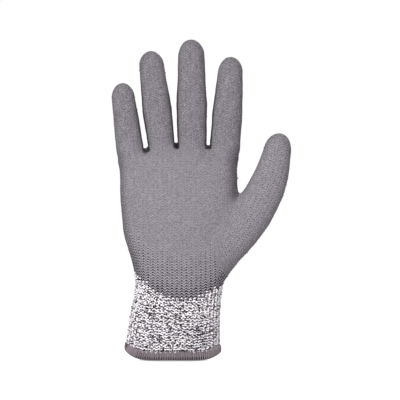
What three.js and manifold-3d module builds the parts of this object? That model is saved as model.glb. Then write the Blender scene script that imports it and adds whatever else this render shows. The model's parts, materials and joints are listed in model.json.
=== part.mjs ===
// A right-hand cut resistant work glove, fingers up, held open by the hand or hand form inside it.
// Millimetres. +Z runs from the wrist to the fingertips, -Y is the palm side and +X the thumb side.
// The origin is the centre of the wrist opening, at the lowest point of the hem.
import * as THREE from "three";
import { mergeVertices } from "three/addons/utils/BufferGeometryUtils.js";
import Module from "manifold-3d";

const wasm = await Module();
wasm.setup();

// ---- driving dimensions ----

const LENGTH = 250; // hem to middle fingertip
const WALL = 1.3; // the knitted fabric
const FILM_GAP = 0.2; // between the knit and the film dipped on it
const FILM = 0.5; // the polyurethane film
const ROUNDNESS = 2.35; // superellipse power of every cross-section

const HEM_HEIGHT = 7.3;
const HEM_BULGE = 2.2; // how far the hem stands out of the cuff
const HEM_INSET = 0.6; // how far it stands in from the cuff's inner face
// The hem and the knitted rows lie flat in the middle and rise at the sides.
const SMILE = { rise: 7.6, half: 38, power: 5, most: 9.1 };
const ELASTIC = { count: 4, first: 12, spacing: 9, size: 0.8 };

// Cross-sections of the cuff and palm: height, left edge, right edge, half depth.
const TRUNK = [
  [0, -37.0, 37.0, 24],
  [14, -35.6, 36.6, 23],
  [34, -33.2, 36.6, 21.5],
  [56, -28.8, 38.8, 20],
  [68, -28.8, 43.2, 18.8],
  [82, -32.0, 47.4, 17.2],
  [100, -37.2, 49.6, 15.6],
  [134, -40.4, 50.8, 13.6],
  [158, -42.8, 51.6, 11.8],
  [166, -42.6, 51.6, 9.4],
  [168.4, -41.2, 50.2, 6.6],
];
const TOP_ROW = 9; // from this section on, the top between the fingers closes

// Each finger stall: the middle of its root, its tip, and half widths and half depths at root and tip.
// Its knuckles are distances from the root.
const FINGERS = {
  little: {
    root: [-32.4, 165],
    tip: [-38.1, 216.0],
    wide: [10.3, 9.0],
    deep: [8.6, 7.4],
    knuckles: [9, 25, 38],
  },
  ring: {
    root: [-9.0, 168],
    tip: [-16.6, 241.2],
    wide: [10.9, 9.9],
    deep: [9.2, 8.0],
    knuckles: [9, 34, 55],
  },
  middle: {
    root: [15.0, 169],
    tip: [14.6, LENGTH],
    wide: [11.6, 10.4],
    deep: [9.4, 8.2],
    knuckles: [10, 37, 60],
  },
  index: {
    root: [40.2, 168],
    tip: [45.1, 236.4],
    wide: [11.5, 9.9],
    deep: [9.2, 8.0],
    knuckles: [10, 33, 52],
  },
};
const BELOW_ROOT = 12; // how far a stall reaches down inside the palm
const TIP_ROUNDING = 1.15; // length of a finger's rounded tip, as a share of its half width
const STUB_HALF = 16; // half width of the space that each finger's stub on the palm is kept in

// The thumb stall, along a curved line from inside the palm: x, z, half width and half depth.
const THUMB = [
  [33, 77.5, 13.0, 12.5],
  [51.5, 101, 15.2, 12.6],
  [63, 115, 14.6, 11.6],
  [70.3, 129, 14.0, 10.6],
  [75.5, 142, 12.7, 9.8],
  [79.4, 155, 11.0, 9.0],
];
const THUMB_TIP = [82.6, 176.6];
const THUMB_TRIM = { wide: 0.7, deep: 0.5 }; // how much slimmer the rounded tip is than the last section

// How far each joint flexes, in degrees. The wrist bends as far back as it does forward.
const FLEX = { knuckle: 75, middle: 85, tip: 45, thumb_root: 40, thumb_tip: 60, wrist: 35 };
const WRIST = [5, 56]; // the wrist's hinge, across and up
const HINGE_FORWARD = 2; // finger hinges lie this far to the palm side of the middle
const HINGE_GAP = 0.5;

// The lower edge of the film on the palm: a curve that dips between the two sides of the hand.
// Its two middle points pull it down without lying on it.
const FILM_EDGE = { left: [-46, 77], leftPull: [-20, 46.5], rightPull: [26, 39.5], right: [60, 77] };
const FILM_WRAP = 3.5; // how far the film reaches round to the back
const FILM_CAP = 9; // the stretch of each fingertip that is dipped all round

const PART_GAP = 0.3; // between pieces that lie against each other
const ENDS = 1; // how far a hollow runs out past the wrist opening

const REACH = 70; // larger than any section, for the cutting solids
const FRONT = new THREE.Vector3(0, -1, 0);

// ---- how finely round shapes are cut into flats ----

const SIDES = { trunk: 24, stall: 14 };
const DOME = [0, 0.45, 0.75, 0.93]; // shares of a rounded tip's length that get a section
const EDGE_STEPS = 10; // along the film's lower edge
const SMILE_STOPS = [0, 0.45, 0.62, 0.75, 0.85, 0.93, 1.0]; // shares of the smile's half that get a corner
const WELD = 1e-4; // corners nearer than this are one

// ---- solids ----

/** A closed geometry as a manifold-3d solid. */
function solidOf(geometry) {
  const bare = geometry.clone();
  bare.deleteAttribute("normal");
  bare.deleteAttribute("uv");
  const merged = mergeVertices(bare, WELD);
  return new wasm.Manifold(
    new wasm.Mesh({
      numProp: 3,
      vertProperties: new Float32Array(merged.attributes.position.array),
      triVerts: new Uint32Array(merged.index.array),
    }),
  );
}

/** A manifold-3d solid as a three.js geometry. */
function geometryOf(solid) {
  const mesh = solid.getMesh();
  const geometry = new THREE.BufferGeometry();
  const corners = new Float32Array(mesh.vertProperties);
  geometry.setAttribute("position", new THREE.BufferAttribute(corners, 3));
  geometry.setIndex(new THREE.BufferAttribute(new Uint32Array(mesh.triVerts), 1));
  geometry.computeVertexNormals();
  return geometry;
}

/** A sleeve through stations, each { centre, across, wide, deep }: a cylinder reshaped row by row. */
function sleeve(stations, sides) {
  const rows = stations.length - 1;
  const geometry = new THREE.CylinderGeometry(1, 1, 1, sides, rows);
  const place = geometry.attributes.position;
  const bulge = (s) => Math.sign(s) * Math.abs(s) ** (2 / ROUNDNESS);
  for (let i = 0; i < place.count; i++) {
    const station = stations[Math.round((place.getY(i) + 0.5) * rows)];
    const point = station.centre
      .clone()
      .addScaledVector(station.across, bulge(place.getX(i)) * station.wide)
      .addScaledVector(FRONT, bulge(place.getZ(i)) * station.deep);
    place.setXYZ(i, point.x, point.y, point.z);
  }
  return solidOf(geometry);
}

/** The cuff and palm, every wall moved out by grow; the ends are lengthened by ends. */
function trunk(grow, ends = 0) {
  const stations = TRUNK.map(([z, left, right, deep], i) => ({
    centre: new THREE.Vector3((left + right) / 2, 0, z - (i === 0 ? ends : 0) + (i >= TOP_ROW ? grow : 0)),
    across: new THREE.Vector3(1, 0, 0),
    wide: (right - left) / 2 + grow,
    deep: deep + grow,
  }));
  return sleeve(stations, SIDES.trunk);
}

/** Unit vector in the XZ plane, a quarter turn from direction: turning about it bends towards the palm. */
function acrossOf(direction) {
  return new THREE.Vector3(direction.z, 0, -direction.x);
}

/** The stations that close a stall in a rounded tip. */
function dome(base, direction, length, wide, deep) {
  return DOME.map((share) => ({
    centre: base.clone().addScaledVector(direction, share * length),
    across: acrossOf(direction),
    wide: wide * Math.sqrt(1 - share * share),
    deep: deep * Math.sqrt(1 - share * share),
  }));
}

/** A finger's line: its root, its direction and its length. */
function lineOf(finger) {
  const root = new THREE.Vector3(finger.root[0], 0, finger.root[1]);
  const tip = new THREE.Vector3(finger.tip[0], 0, finger.tip[1]);
  return { root, direction: tip.clone().sub(root).normalize(), length: tip.distanceTo(root) };
}

/** One finger stall, every wall moved out by grow. */
function stall(finger, grow) {
  const { root, direction, length } = lineOf(finger);
  const rounded = finger.wide[1] * TIP_ROUNDING;
  const base = root.clone().addScaledVector(direction, length - rounded);
  const start = {
    centre: root.clone().addScaledVector(direction, -BELOW_ROOT - grow),
    across: acrossOf(direction),
    wide: finger.wide[0] + grow,
    deep: finger.deep[0] + grow,
  };
  const tip = dome(base, direction, rounded + grow, finger.wide[1] + grow, finger.deep[1] + grow);
  return sleeve([start, ...tip], SIDES.stall);
}

/** The thumb stall, every wall moved out by grow. */
function thumbStall(grow) {
  const points = THUMB.map(([x, z]) => new THREE.Vector3(x, 0, z));
  const tip = new THREE.Vector3(THUMB_TIP[0], 0, THUMB_TIP[1]);
  const last = points.length - 1;
  const stations = THUMB.map(([, , wide, deep], i) => {
    const before = points[Math.max(i - 1, 0)];
    const after = points[i + 1] ?? tip;
    const direction = after.clone().sub(before).normalize();
    const centre = i === 0 ? points[0].clone().addScaledVector(direction, -grow) : points[i];
    return { centre, across: acrossOf(direction), wide: wide + grow, deep: deep + grow };
  });
  const end = tip.clone().sub(points[last]).normalize();
  const rounded = THUMB[last][2];
  const base = tip.clone().addScaledVector(end, -rounded);
  const wide = THUMB[last][2] - THUMB_TRIM.wide + grow;
  const deep = THUMB[last][3] - THUMB_TRIM.deep + grow;
  return sleeve([...stations, ...dome(base, end, rounded + grow, wide, deep)], SIDES.stall);
}

// ---- joints: where the fabric bends ----

/** A bend at a point of the XZ plane: direction points away from the wrist. The fabric is notched on the
 * palm side, by half the flex on each side of the hinge; a bend that goes both ways is notched on both. */
function bend(x, z, direction, degrees, bothWays = false) {
  const centre = new THREE.Vector3(x, 0, z);
  const slope = Math.tan(THREE.MathUtils.degToRad(degrees / 2));
  return { centre, direction, slope, forward: bothWays ? 0 : HINGE_FORWARD, bothWays };
}

/** Everything past a bend (way 1) or short of it (way -1), out to this half width. */
function past(joint, way, halfWidth) {
  const { slope, forward, bothWays } = joint;
  const gap = HINGE_GAP / 2;
  const notch = gap + (REACH - forward) * slope;
  const outline = [
    [gap, forward],
    [notch, REACH],
    [2 * REACH, REACH],
    [2 * REACH, -REACH],
    [bothWays ? notch : gap, -REACH],
  ];
  const shape = new THREE.Shape(outline.map(([along, front]) => new THREE.Vector2(along * way, front)));
  const geometry = new THREE.ExtrudeGeometry(shape, { depth: 2 * halfWidth, bevelEnabled: false });
  geometry.translate(0, 0, -halfWidth);
  const frame = new THREE.Matrix4().makeBasis(joint.direction, FRONT, acrossOf(joint.direction));
  geometry.applyMatrix4(frame.setPosition(joint.centre));
  return solidOf(geometry);
}

const wristBend = bend(...WRIST, new THREE.Vector3(0, 0, 1), FLEX.wrist, true);
const fingerBends = Object.fromEntries(
  Object.entries(FINGERS).map(([name, finger]) => {
    const { root, direction } = lineOf(finger);
    const flexes = [FLEX.knuckle, FLEX.middle, FLEX.tip];
    const bends = finger.knuckles.map((at, i) => {
      const centre = root.clone().addScaledVector(direction, at);
      return bend(centre.x, centre.z, direction, flexes[i]);
    });
    return [name, bends];
  }),
);
const THUMB_ROOT = { at: [66, 118.5], direction: new THREE.Vector3(0.78, 0, 0.626).normalize() };
const THUMB_KNUCKLE = { at: [78.2, 151], direction: new THREE.Vector3(0.27, 0, 0.963).normalize() };
const thumbBends = [
  bend(...THUMB_ROOT.at, THUMB_ROOT.direction, FLEX.thumb_root),
  bend(...THUMB_KNUCKLE.at, THUMB_KNUCKLE.direction, FLEX.thumb_tip),
];

// ---- the glove in layers: the knit, and the film outside it ----

/** A layer of the palm with the stalls' stubs on it, between two distances from the knit's outer face. */
function palmLayer(outerGrow, innerGrow) {
  let outer = trunk(outerGrow);
  let inner = trunk(innerGrow, ENDS);
  for (const [name, finger] of Object.entries(FINGERS)) {
    outer = outer.add(stall(finger, outerGrow).intersect(past(fingerBends[name][0], -1, STUB_HALF)));
    inner = inner.add(stall(finger, innerGrow));
  }
  outer = outer.add(thumbStall(outerGrow).intersect(past(thumbBends[0], -1, REACH)));
  inner = inner.add(thumbStall(innerGrow));
  return outer.subtract(inner);
}

/** A stall's layer cut into the lengths between its bends. */
function stallLayer(make, bends, outerGrow, innerGrow) {
  const layer = make(outerGrow).subtract(make(innerGrow));
  return bends.map((joint, i) => {
    const length = layer.intersect(past(joint, 1, REACH));
    return i + 1 < bends.length ? length.intersect(past(bends[i + 1], -1, REACH)) : length;
  });
}

/** How much higher a knitted row lies at this share of the smile's half than in the middle. */
function riseAt(share) {
  return Math.min(SMILE.rise * share ** SMILE.power, SMILE.most);
}

/** The space above a knitted row that lies this high in the middle of the cuff. */
function aboveRow(height) {
  const shares = [...SMILE_STOPS, REACH / SMILE.half];
  const right = shares.map((share) => new THREE.Vector2(share * SMILE.half, height + riseAt(share)));
  const left = right.slice(1).map(({ x, y }) => new THREE.Vector2(-x, y));
  const top = [new THREE.Vector2(REACH, LENGTH + REACH), new THREE.Vector2(-REACH, LENGTH + REACH)];
  const shape = new THREE.Shape([...left.reverse(), ...right, ...top]);
  const geometry = new THREE.ExtrudeGeometry(shape, { depth: 2 * REACH, bevelEnabled: false });
  geometry.rotateX(Math.PI / 2);
  geometry.translate(0, REACH, 0);
  return solidOf(geometry);
}

/** The space in front of the back of the hand and above the film's dipping edge. */
function filmSpace() {
  const { left, leftPull, rightPull, right } = FILM_EDGE;
  const shape = new THREE.Shape();
  shape.moveTo(...left);
  shape.bezierCurveTo(...leftPull, ...rightPull, ...right);
  shape.lineTo(2 * REACH, right[1]);
  shape.lineTo(2 * REACH, LENGTH + REACH);
  shape.lineTo(left[0], LENGTH + REACH);
  const settings = { depth: REACH + FILM_WRAP, bevelEnabled: false, curveSegments: EDGE_STEPS };
  const geometry = new THREE.ExtrudeGeometry(shape, settings);
  geometry.rotateX(Math.PI / 2);
  geometry.translate(0, FILM_WRAP, 0);
  return solidOf(geometry);
}

/** The space round a fingertip, past a point on the stall's line. */
function tipSpace(tip, direction) {
  const cap = new THREE.Vector3(tip[0], 0, tip[1]).addScaledVector(direction, -FILM_CAP);
  return past(bend(cap.x, cap.z, direction, 0), 1, REACH);
}

const group = new THREE.Group();
const knit = new THREE.MeshStandardMaterial({ color: 0xb9b6bc, roughness: 0.95, metalness: 0 });
const film = new THREE.MeshStandardMaterial({ color: 0x928c93, roughness: 0.6, metalness: 0 });
const binding = new THREE.MeshStandardMaterial({ color: 0x7d747b, roughness: 0.9, metalness: 0 });
const rubber = new THREE.MeshStandardMaterial({ color: 0xd8d6d2, roughness: 0.7, metalness: 0 });

function addPart(name, solid, material) {
  const mesh = new THREE.Mesh(geometryOf(solid), material);
  mesh.name = name;
  group.add(mesh);
}

// Trunk: the cuff is the length below the wrist bend, the palm is the length above it.
const knitTrunk = palmLayer(0, -WALL);
const belowWrist = past(wristBend, -1, 2 * REACH);
const aboveWrist = past(wristBend, 1, 2 * REACH);
addPart("cuff_knit", knitTrunk.intersect(belowWrist).intersect(aboveRow(HEM_HEIGHT + PART_GAP)), knit);
addPart("palm_knit", knitTrunk.intersect(aboveWrist), knit);
const filmTrunk = palmLayer(FILM_GAP + FILM, FILM_GAP).intersect(filmSpace());
addPart("palm_film", filmTrunk.intersect(aboveWrist), film);

// Stalls.
const LENGTHS = ["proximal", "middle", "distal"];
for (const [name, finger] of Object.entries(FINGERS)) {
  const { direction } = lineOf(finger);
  const make = (grow) => stall(finger, grow);
  const space = filmSpace().add(tipSpace(finger.tip, direction));
  stallLayer(make, fingerBends[name], 0, -WALL).forEach((solid, i) => {
    addPart(`${name}_${LENGTHS[i]}_knit`, solid, knit);
  });
  stallLayer(make, fingerBends[name], FILM_GAP + FILM, FILM_GAP).forEach((solid, i) => {
    addPart(`${name}_${LENGTHS[i]}_film`, solid.intersect(space), film);
  });
}
const thumbSpace = filmSpace().add(tipSpace(THUMB_TIP, THUMB_KNUCKLE.direction));
const THUMB_LENGTHS = ["base", "tip"];
stallLayer(thumbStall, thumbBends, 0, -WALL).forEach((solid, i) => {
  addPart(`thumb_${THUMB_LENGTHS[i]}_knit`, solid, knit);
});
stallLayer(thumbStall, thumbBends, FILM_GAP + FILM, FILM_GAP).forEach((solid, i) => {
  addPart(`thumb_${THUMB_LENGTHS[i]}_film`, solid.intersect(thumbSpace), film);
});

// Hem: the overlocked edge, a thick ring round the wrist opening.
const hemWall = trunk(HEM_BULGE).subtract(trunk(-WALL - HEM_INSET, ENDS));
addPart("cuff_hem", hemWall.intersect(aboveRow(0)).subtract(aboveRow(HEM_HEIGHT)), binding);

// Elastic threads laid into the inner face of the cuff.
const threadWall = trunk(-WALL - PART_GAP).subtract(trunk(-WALL - PART_GAP - ELASTIC.size, ENDS));
for (let i = 0; i < ELASTIC.count; i++) {
  const low = ELASTIC.first + i * ELASTIC.spacing;
  const ring = threadWall.intersect(aboveRow(low)).subtract(aboveRow(low + ELASTIC.size));
  addPart(`elastic_thread_${i + 1}`, ring, rubber);
}

export default group;
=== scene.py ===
"""A cut resistant work glove: a seamless knitted liner, a film dipped on its palm side and an overlocked hem.

Metres. +Z runs from the wrist to the fingertips, -Y is the palm side and +X the thumb side.
"""

import json
import logging
import math
from dataclasses import dataclass, field
from enum import Enum

import bpy
import numpy as np
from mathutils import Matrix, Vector


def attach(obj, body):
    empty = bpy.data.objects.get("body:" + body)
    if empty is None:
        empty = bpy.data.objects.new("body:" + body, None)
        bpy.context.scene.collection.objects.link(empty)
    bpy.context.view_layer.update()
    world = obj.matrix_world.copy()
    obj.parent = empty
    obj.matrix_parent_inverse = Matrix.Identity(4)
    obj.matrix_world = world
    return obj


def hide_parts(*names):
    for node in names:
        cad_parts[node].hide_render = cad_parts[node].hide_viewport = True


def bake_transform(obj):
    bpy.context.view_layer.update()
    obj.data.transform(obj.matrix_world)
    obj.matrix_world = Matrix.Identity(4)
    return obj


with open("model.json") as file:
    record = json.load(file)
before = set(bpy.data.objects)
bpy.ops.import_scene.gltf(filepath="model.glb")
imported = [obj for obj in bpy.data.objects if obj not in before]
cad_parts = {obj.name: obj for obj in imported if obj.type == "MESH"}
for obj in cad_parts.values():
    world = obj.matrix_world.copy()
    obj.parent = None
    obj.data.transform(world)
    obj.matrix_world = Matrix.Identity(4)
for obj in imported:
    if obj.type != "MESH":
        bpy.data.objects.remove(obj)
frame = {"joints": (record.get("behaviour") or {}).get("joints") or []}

log = logging.getLogger("glove")
Array = np.ndarray
MM = 0.001
SEED = 7

# The liner's outer face, in millimetres: height, left edge, right edge and half depth of the cuff and palm.
TRUNK_ROWS = (
    (-6, -37.6, 37.4, 24.2),
    (0, -37.0, 37.0, 24.0),
    (14, -35.6, 36.6, 23.0),
    (34, -33.2, 36.6, 21.5),
    (56, -28.1, 37.8, 20.0),
    (68, -28.2, 42.0, 18.8),
    (82, -32.4, 47.4, 17.2),
    (100, -37.8, 49.6, 15.6),
    (134, -40.6, 50.5, 13.6),
    (158, -40.1, 49.8, 11.8),
    (170, -39.4, 49.0, 10.4),
)
TRUNK_TOP = (156, 169.5)  # where the top between the fingers starts to round over, and where it closes

# Each finger stall: where its root and its tip lie, as x and z, with its half widths and half depths at
# STALL_STOPS and where the tip starts to round over.
STALLS = {
    "little": {
        "root": (-32.9, 165.0),
        "tip": (-39.6, 216.0),
        "wide": (10.3, 9.7, 9.0, 8.8),
        "deep": (8.6, 8.3, 8.0, 7.6),
    },
    "ring": {
        "root": (-8.4, 168.0),
        "tip": (-17.5, 241.0),
        "wide": (10.1, 11.1, 10.1, 9.5),
        "deep": (9.2, 9.0, 8.7, 8.2),
    },
    "middle": {
        "root": (15.4, 169.0),
        "tip": (14.8, 250.0),
        "wide": (11.0, 11.7, 10.5, 9.9),
        "deep": (9.4, 9.2, 8.9, 8.4),
    },
    "index": {
        "root": (41.1, 168.0),
        "tip": (46.1, 236.4),
        "wide": (11.4, 11.3, 10.3, 9.4),
        "deep": (9.2, 9.0, 8.7, 8.2),
    },
}
STALL_STOPS = (0.0, 0.38, 0.62)  # where along a stall its sizes are listed, as shares of its length
# The middle of the thumb stall and its size, in millimetres: x, z, half width and half depth.
THUMB_LINE = (
    (33.0, 77.5, 13.0, 12.5),
    (52.0, 101.0, 15.9, 12.6),
    (63.2, 115.0, 15.0, 11.6),
    (70.8, 129.0, 14.4, 10.6),
    (76.9, 142.0, 13.6, 9.8),
    (80.2, 155.0, 11.3, 9.0),
    (83.1, 170.0, 9.7, 8.6),
    (84.3, 177.0, 9.2, 8.4),
)
LENGTHS = ("proximal", "middle", "distal")
JOINTS = ("knuckle", "mid_joint", "tip_joint")


def smoothstep(low: float, high: float, value: Array) -> Array:
    """0 below low, 1 above high and a smooth S between them."""
    t = np.clip((value - low) / (high - low), 0.0, 1.0)
    return t * t * (3.0 - 2.0 * t)


def smooth_min(a: Array, b: Array, reach: float) -> Array:
    """The lower of a and b, rounded off over reach where they are nearly equal."""
    h = np.maximum(reach - np.abs(a - b), 0.0) / reach
    return np.minimum(a, b) - h * h * reach * 0.25


@dataclass(frozen=True)
class Knit:
    """The stitch of the liner: loop width, row height and yarn."""

    wale: float = 3.7 * MM
    course: float = 2.05 * MM
    yarn: float = 0.54 * MM
    smile: float = 7.6 * MM
    smile_half: float = 38.0 * MM
    smile_middle: float = 1.2 * MM
    smile_power: float = 5.0
    smile_most: float = 1.2
    smile_fade: float = 0.55
    fade_band: tuple[float, float] = (30 * MM, 120 * MM)
    lean: float = 0.3

    def row(self, x: Array, z: Array) -> Array:
        """The height of the knitted row through a point, where rows rise towards the sides of the cuff.

        Args:
            x: across the glove.
            z: along the glove.

        Returns:
            The height at which the same row crosses the middle.
        """
        return z - self.bow(x) * self.bowed(z)

    def bow(self, x: Array) -> Array:
        """How far the hem's edge rises at a distance from the middle."""
        share = np.abs(x - self.smile_middle) / self.smile_half
        return np.minimum(self.smile * share**self.smile_power, self.smile_most * self.smile)

    def bowed(self, z: Array) -> Array:
        """How much of the hem's bow a row at this height keeps."""
        return 1.0 - self.smile_fade * smoothstep(*self.fade_band, z)

    def height(self, x: Array, row: Array) -> Array:
        """The height at which a row passes x, the inverse of row.

        Args:
            x: across the glove.
            row: the height at which the row crosses the middle.

        Returns:
            The height there, found in a few rounds.
        """
        z = row + self.bow(x)
        for _ in range(6):
            z = row + self.bow(x) * self.bowed(z)
        return z


KNIT = Knit()


@dataclass
class Section:
    """A superelliptic section's signed distance, shared by every tube of the glove."""

    power: float = 2.35
    turns_at: float = 0.7

    def level(self, across: Array, front: Array, beyond: Array, wide: Array, deep: Array) -> Array:
        """Distance from the surface, negative inside.

        Args:
            across: across the tube.
            front: towards the palm side.
            beyond: 0 along the tube, rising to 1 at the end of its rounded tip.
            wide: half width.
            deep: half depth.

        Returns:
            The signed distance, close to the true one near the surface.
        """
        p = self.power
        k = np.hypot((np.abs(across / wide) ** p + np.abs(front / deep) ** p) ** (1.0 / p), beyond)
        radius = np.sqrt(across**2 + front**2 + (beyond * wide) ** 2)
        k = np.maximum(k, 1e-4)
        return (k - 1.0) * np.maximum(radius / k, 0.4 * deep)

    def wrapped(self, across: Array, front: Array, wide: Array, deep: Array) -> Array:
        """Distance across a tube, which goes on growing round its sides towards the back.

        Args:
            across: across the tube.
            front: towards the palm side.
            wide: half width.
            deep: half depth.

        Returns:
            The distance from the middle of the front, measured along the cloth.
        """
        side = across / wide
        return across + np.sign(side) * (deep - front) * smoothstep(self.turns_at, 1.0, np.abs(side))

    def spaced(self, wide: float, deep: float, count: int) -> Array:
        """Evenly spaced points round a section.

        Args:
            wide: half width.
            deep: half depth.
            count: how many points.

        Returns:
            Across and front coordinates, from the middle of the front towards positive across.
        """
        turn = np.linspace(0, 2 * math.pi, 721)
        sine, cosine = np.sin(turn), np.cos(turn)
        across = wide * np.sign(sine) * np.abs(sine) ** (2 / self.power)
        front = deep * np.sign(cosine) * np.abs(cosine) ** (2 / self.power)
        reach = np.concatenate([[0.0], np.cumsum(np.hypot(np.diff(across), np.diff(front)))])
        even = np.arange(count) / count * reach[-1]
        return np.stack([np.interp(even, reach, across), np.interp(even, reach, front)], axis=1)


SECTION = Section()


@dataclass
class Trunk:
    """The cuff and the palm, one tube along Z."""

    rows: tuple[tuple[float, ...], ...] = TRUNK_ROWS
    blur: float = 5 * MM
    drop: float = 2.2 * MM
    drop_band: tuple[float, float] = (-26 * MM, -8 * MM)
    turns_at: float = 0.78
    table: Array = field(init=False)

    def __post_init__(self) -> None:
        """Smooths the listed rows into a dense table."""
        rows = np.array(self.rows) * MM
        heights = np.arange(rows[0, 0] - 0.03, rows[-1, 0] + 0.03, 1 * MM)
        reach = np.arange(-15, 16) * MM
        weights = np.exp(-0.5 * (reach / self.blur) ** 2)
        weights /= weights.sum()
        columns = [heights]
        for column in (1, 2, 3):
            raw = np.interp(heights, rows[:, 0], rows[:, column])
            columns.append(np.convolve(np.pad(raw, 15, mode="edge"), weights, mode="valid"))
        self.table = np.stack(columns)

    def sizes(self, z: Array) -> tuple[Array, Array, Array]:
        """Centre, half width and half depth at each height."""
        heights, left, right, deep = self.table
        low = np.interp(z, heights, left)
        high = np.interp(z, heights, right)
        return (low + high) / 2, (high - low) / 2, np.interp(z, heights, deep)

    def level(self, points: Array) -> Array:
        """Signed distance of points from the trunk's surface.

        Args:
            points: where to measure.

        Returns:
            The distances. The top is lower by drop on the little finger's side.
        """
        centre, wide, deep = self.sizes(points[:, 2])
        start, end = (height * MM for height in TRUNK_TOP)
        drop = self.drop * (1 - smoothstep(*self.drop_band, points[:, 0]))
        beyond = np.maximum(points[:, 2] + drop - start, 0.0) / (end - start)
        return SECTION.level(points[:, 0] - centre, points[:, 1], beyond, wide, deep)

    def weave(self, points: Array) -> Array:
        """Where points lie in the knit.

        Args:
            points: where to measure.

        Returns:
            Distances across the wales, then along them.
        """
        centre, wide, deep = self.sizes(points[:, 2])
        side = (points[:, 0] - centre) / wide
        wrap = np.sign(side) * (points[:, 1] + deep) * smoothstep(self.turns_at, 1.0, np.abs(side))
        return np.stack([points[:, 0] + wrap, KNIT.row(points[:, 0], points[:, 2])], axis=1)

    def ring(self, row: float, count: int) -> Array:
        """Evenly spaced points round one knitted row.

        Args:
            row: the row's height at the middle.
            count: how many points.

        Returns:
            The points.
        """
        centre, wide, deep = self.sizes(row + 3 * MM)
        across, front = SECTION.spaced(wide, deep, count).T
        return np.stack([centre + across, -front, KNIT.height(centre + across, row)], axis=1)


@dataclass
class Stall:
    """One finger stall, a straight tube with a rounded tip."""

    name: str
    root: Vector
    tip: Vector
    wide: tuple[float, ...]
    deep: tuple[float, ...]
    tip_share: float = 1.3
    heel: tuple[float, float] = (-1 * MM, 16 * MM)

    @property
    def length(self) -> float:
        """From the root to the tip."""
        return (self.tip - self.root).length

    @property
    def along(self) -> Array:
        """The direction from the root to the tip."""
        return np.array((self.tip - self.root).normalized())

    @property
    def across(self) -> Array:
        """The direction across the stall, a quarter turn from along."""
        along = self.along
        return np.array([along[2], 0.0, -along[0]])

    @property
    def dome(self) -> float:
        """How far along the stall its tip starts to round over."""
        return self.length - self.wide[-1] * self.tip_share

    def local(self, points: Array) -> tuple[Array, Array, Array]:
        """Across, along and front coordinates of points."""
        offset = points - np.array(self.root)
        return offset @ self.across, offset @ self.along, -offset[:, 1]

    def sizes(self, along: Array) -> tuple[Array, Array]:
        """Half width and half depth at each distance along."""
        stops = (*(share * self.length for share in STALL_STOPS), self.dome)
        return np.interp(along, stops, self.wide), np.interp(along, stops, self.deep)

    def level(self, points: Array) -> Array:
        """Signed distance of points from the stall's surface.

        Args:
            points: where to measure.

        Returns:
            The distances. The stall is round at both ends, and its heel lies hidden in the palm.
        """
        across, along, front = self.local(points)
        wide, deep = self.sizes(along)
        tip = np.maximum(along - self.dome, 0.0) / (self.length - self.dome)
        heel = np.maximum(self.heel[0] - along, 0.0) / self.heel[1]
        return SECTION.level(across, front, tip + heel, wide, deep)

    def weave(self, points: Array) -> Array:
        """Where points lie in the knit.

        Args:
            points: where to measure.

        Returns:
            Distances across the wales, then along them.
        """
        across, along, front = self.local(points)
        wrapped = SECTION.wrapped(across, front, *self.sizes(along))
        return np.stack([wrapped + self.root.x, along + self.root.z], axis=1)

    def ring(self, along: float, count: int) -> Array:
        """Evenly spaced points round one knitted row.

        Args:
            along: the row's distance from the root.
            count: how many points.

        Returns:
            The points.
        """
        wide, deep = self.sizes(along)
        across, front = SECTION.spaced(float(wide), float(deep), count).T
        middle = np.array(self.root) + along * self.along
        return middle + across[:, None] * self.across - front[:, None] * np.array([0.0, 1.0, 0.0])


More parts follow.
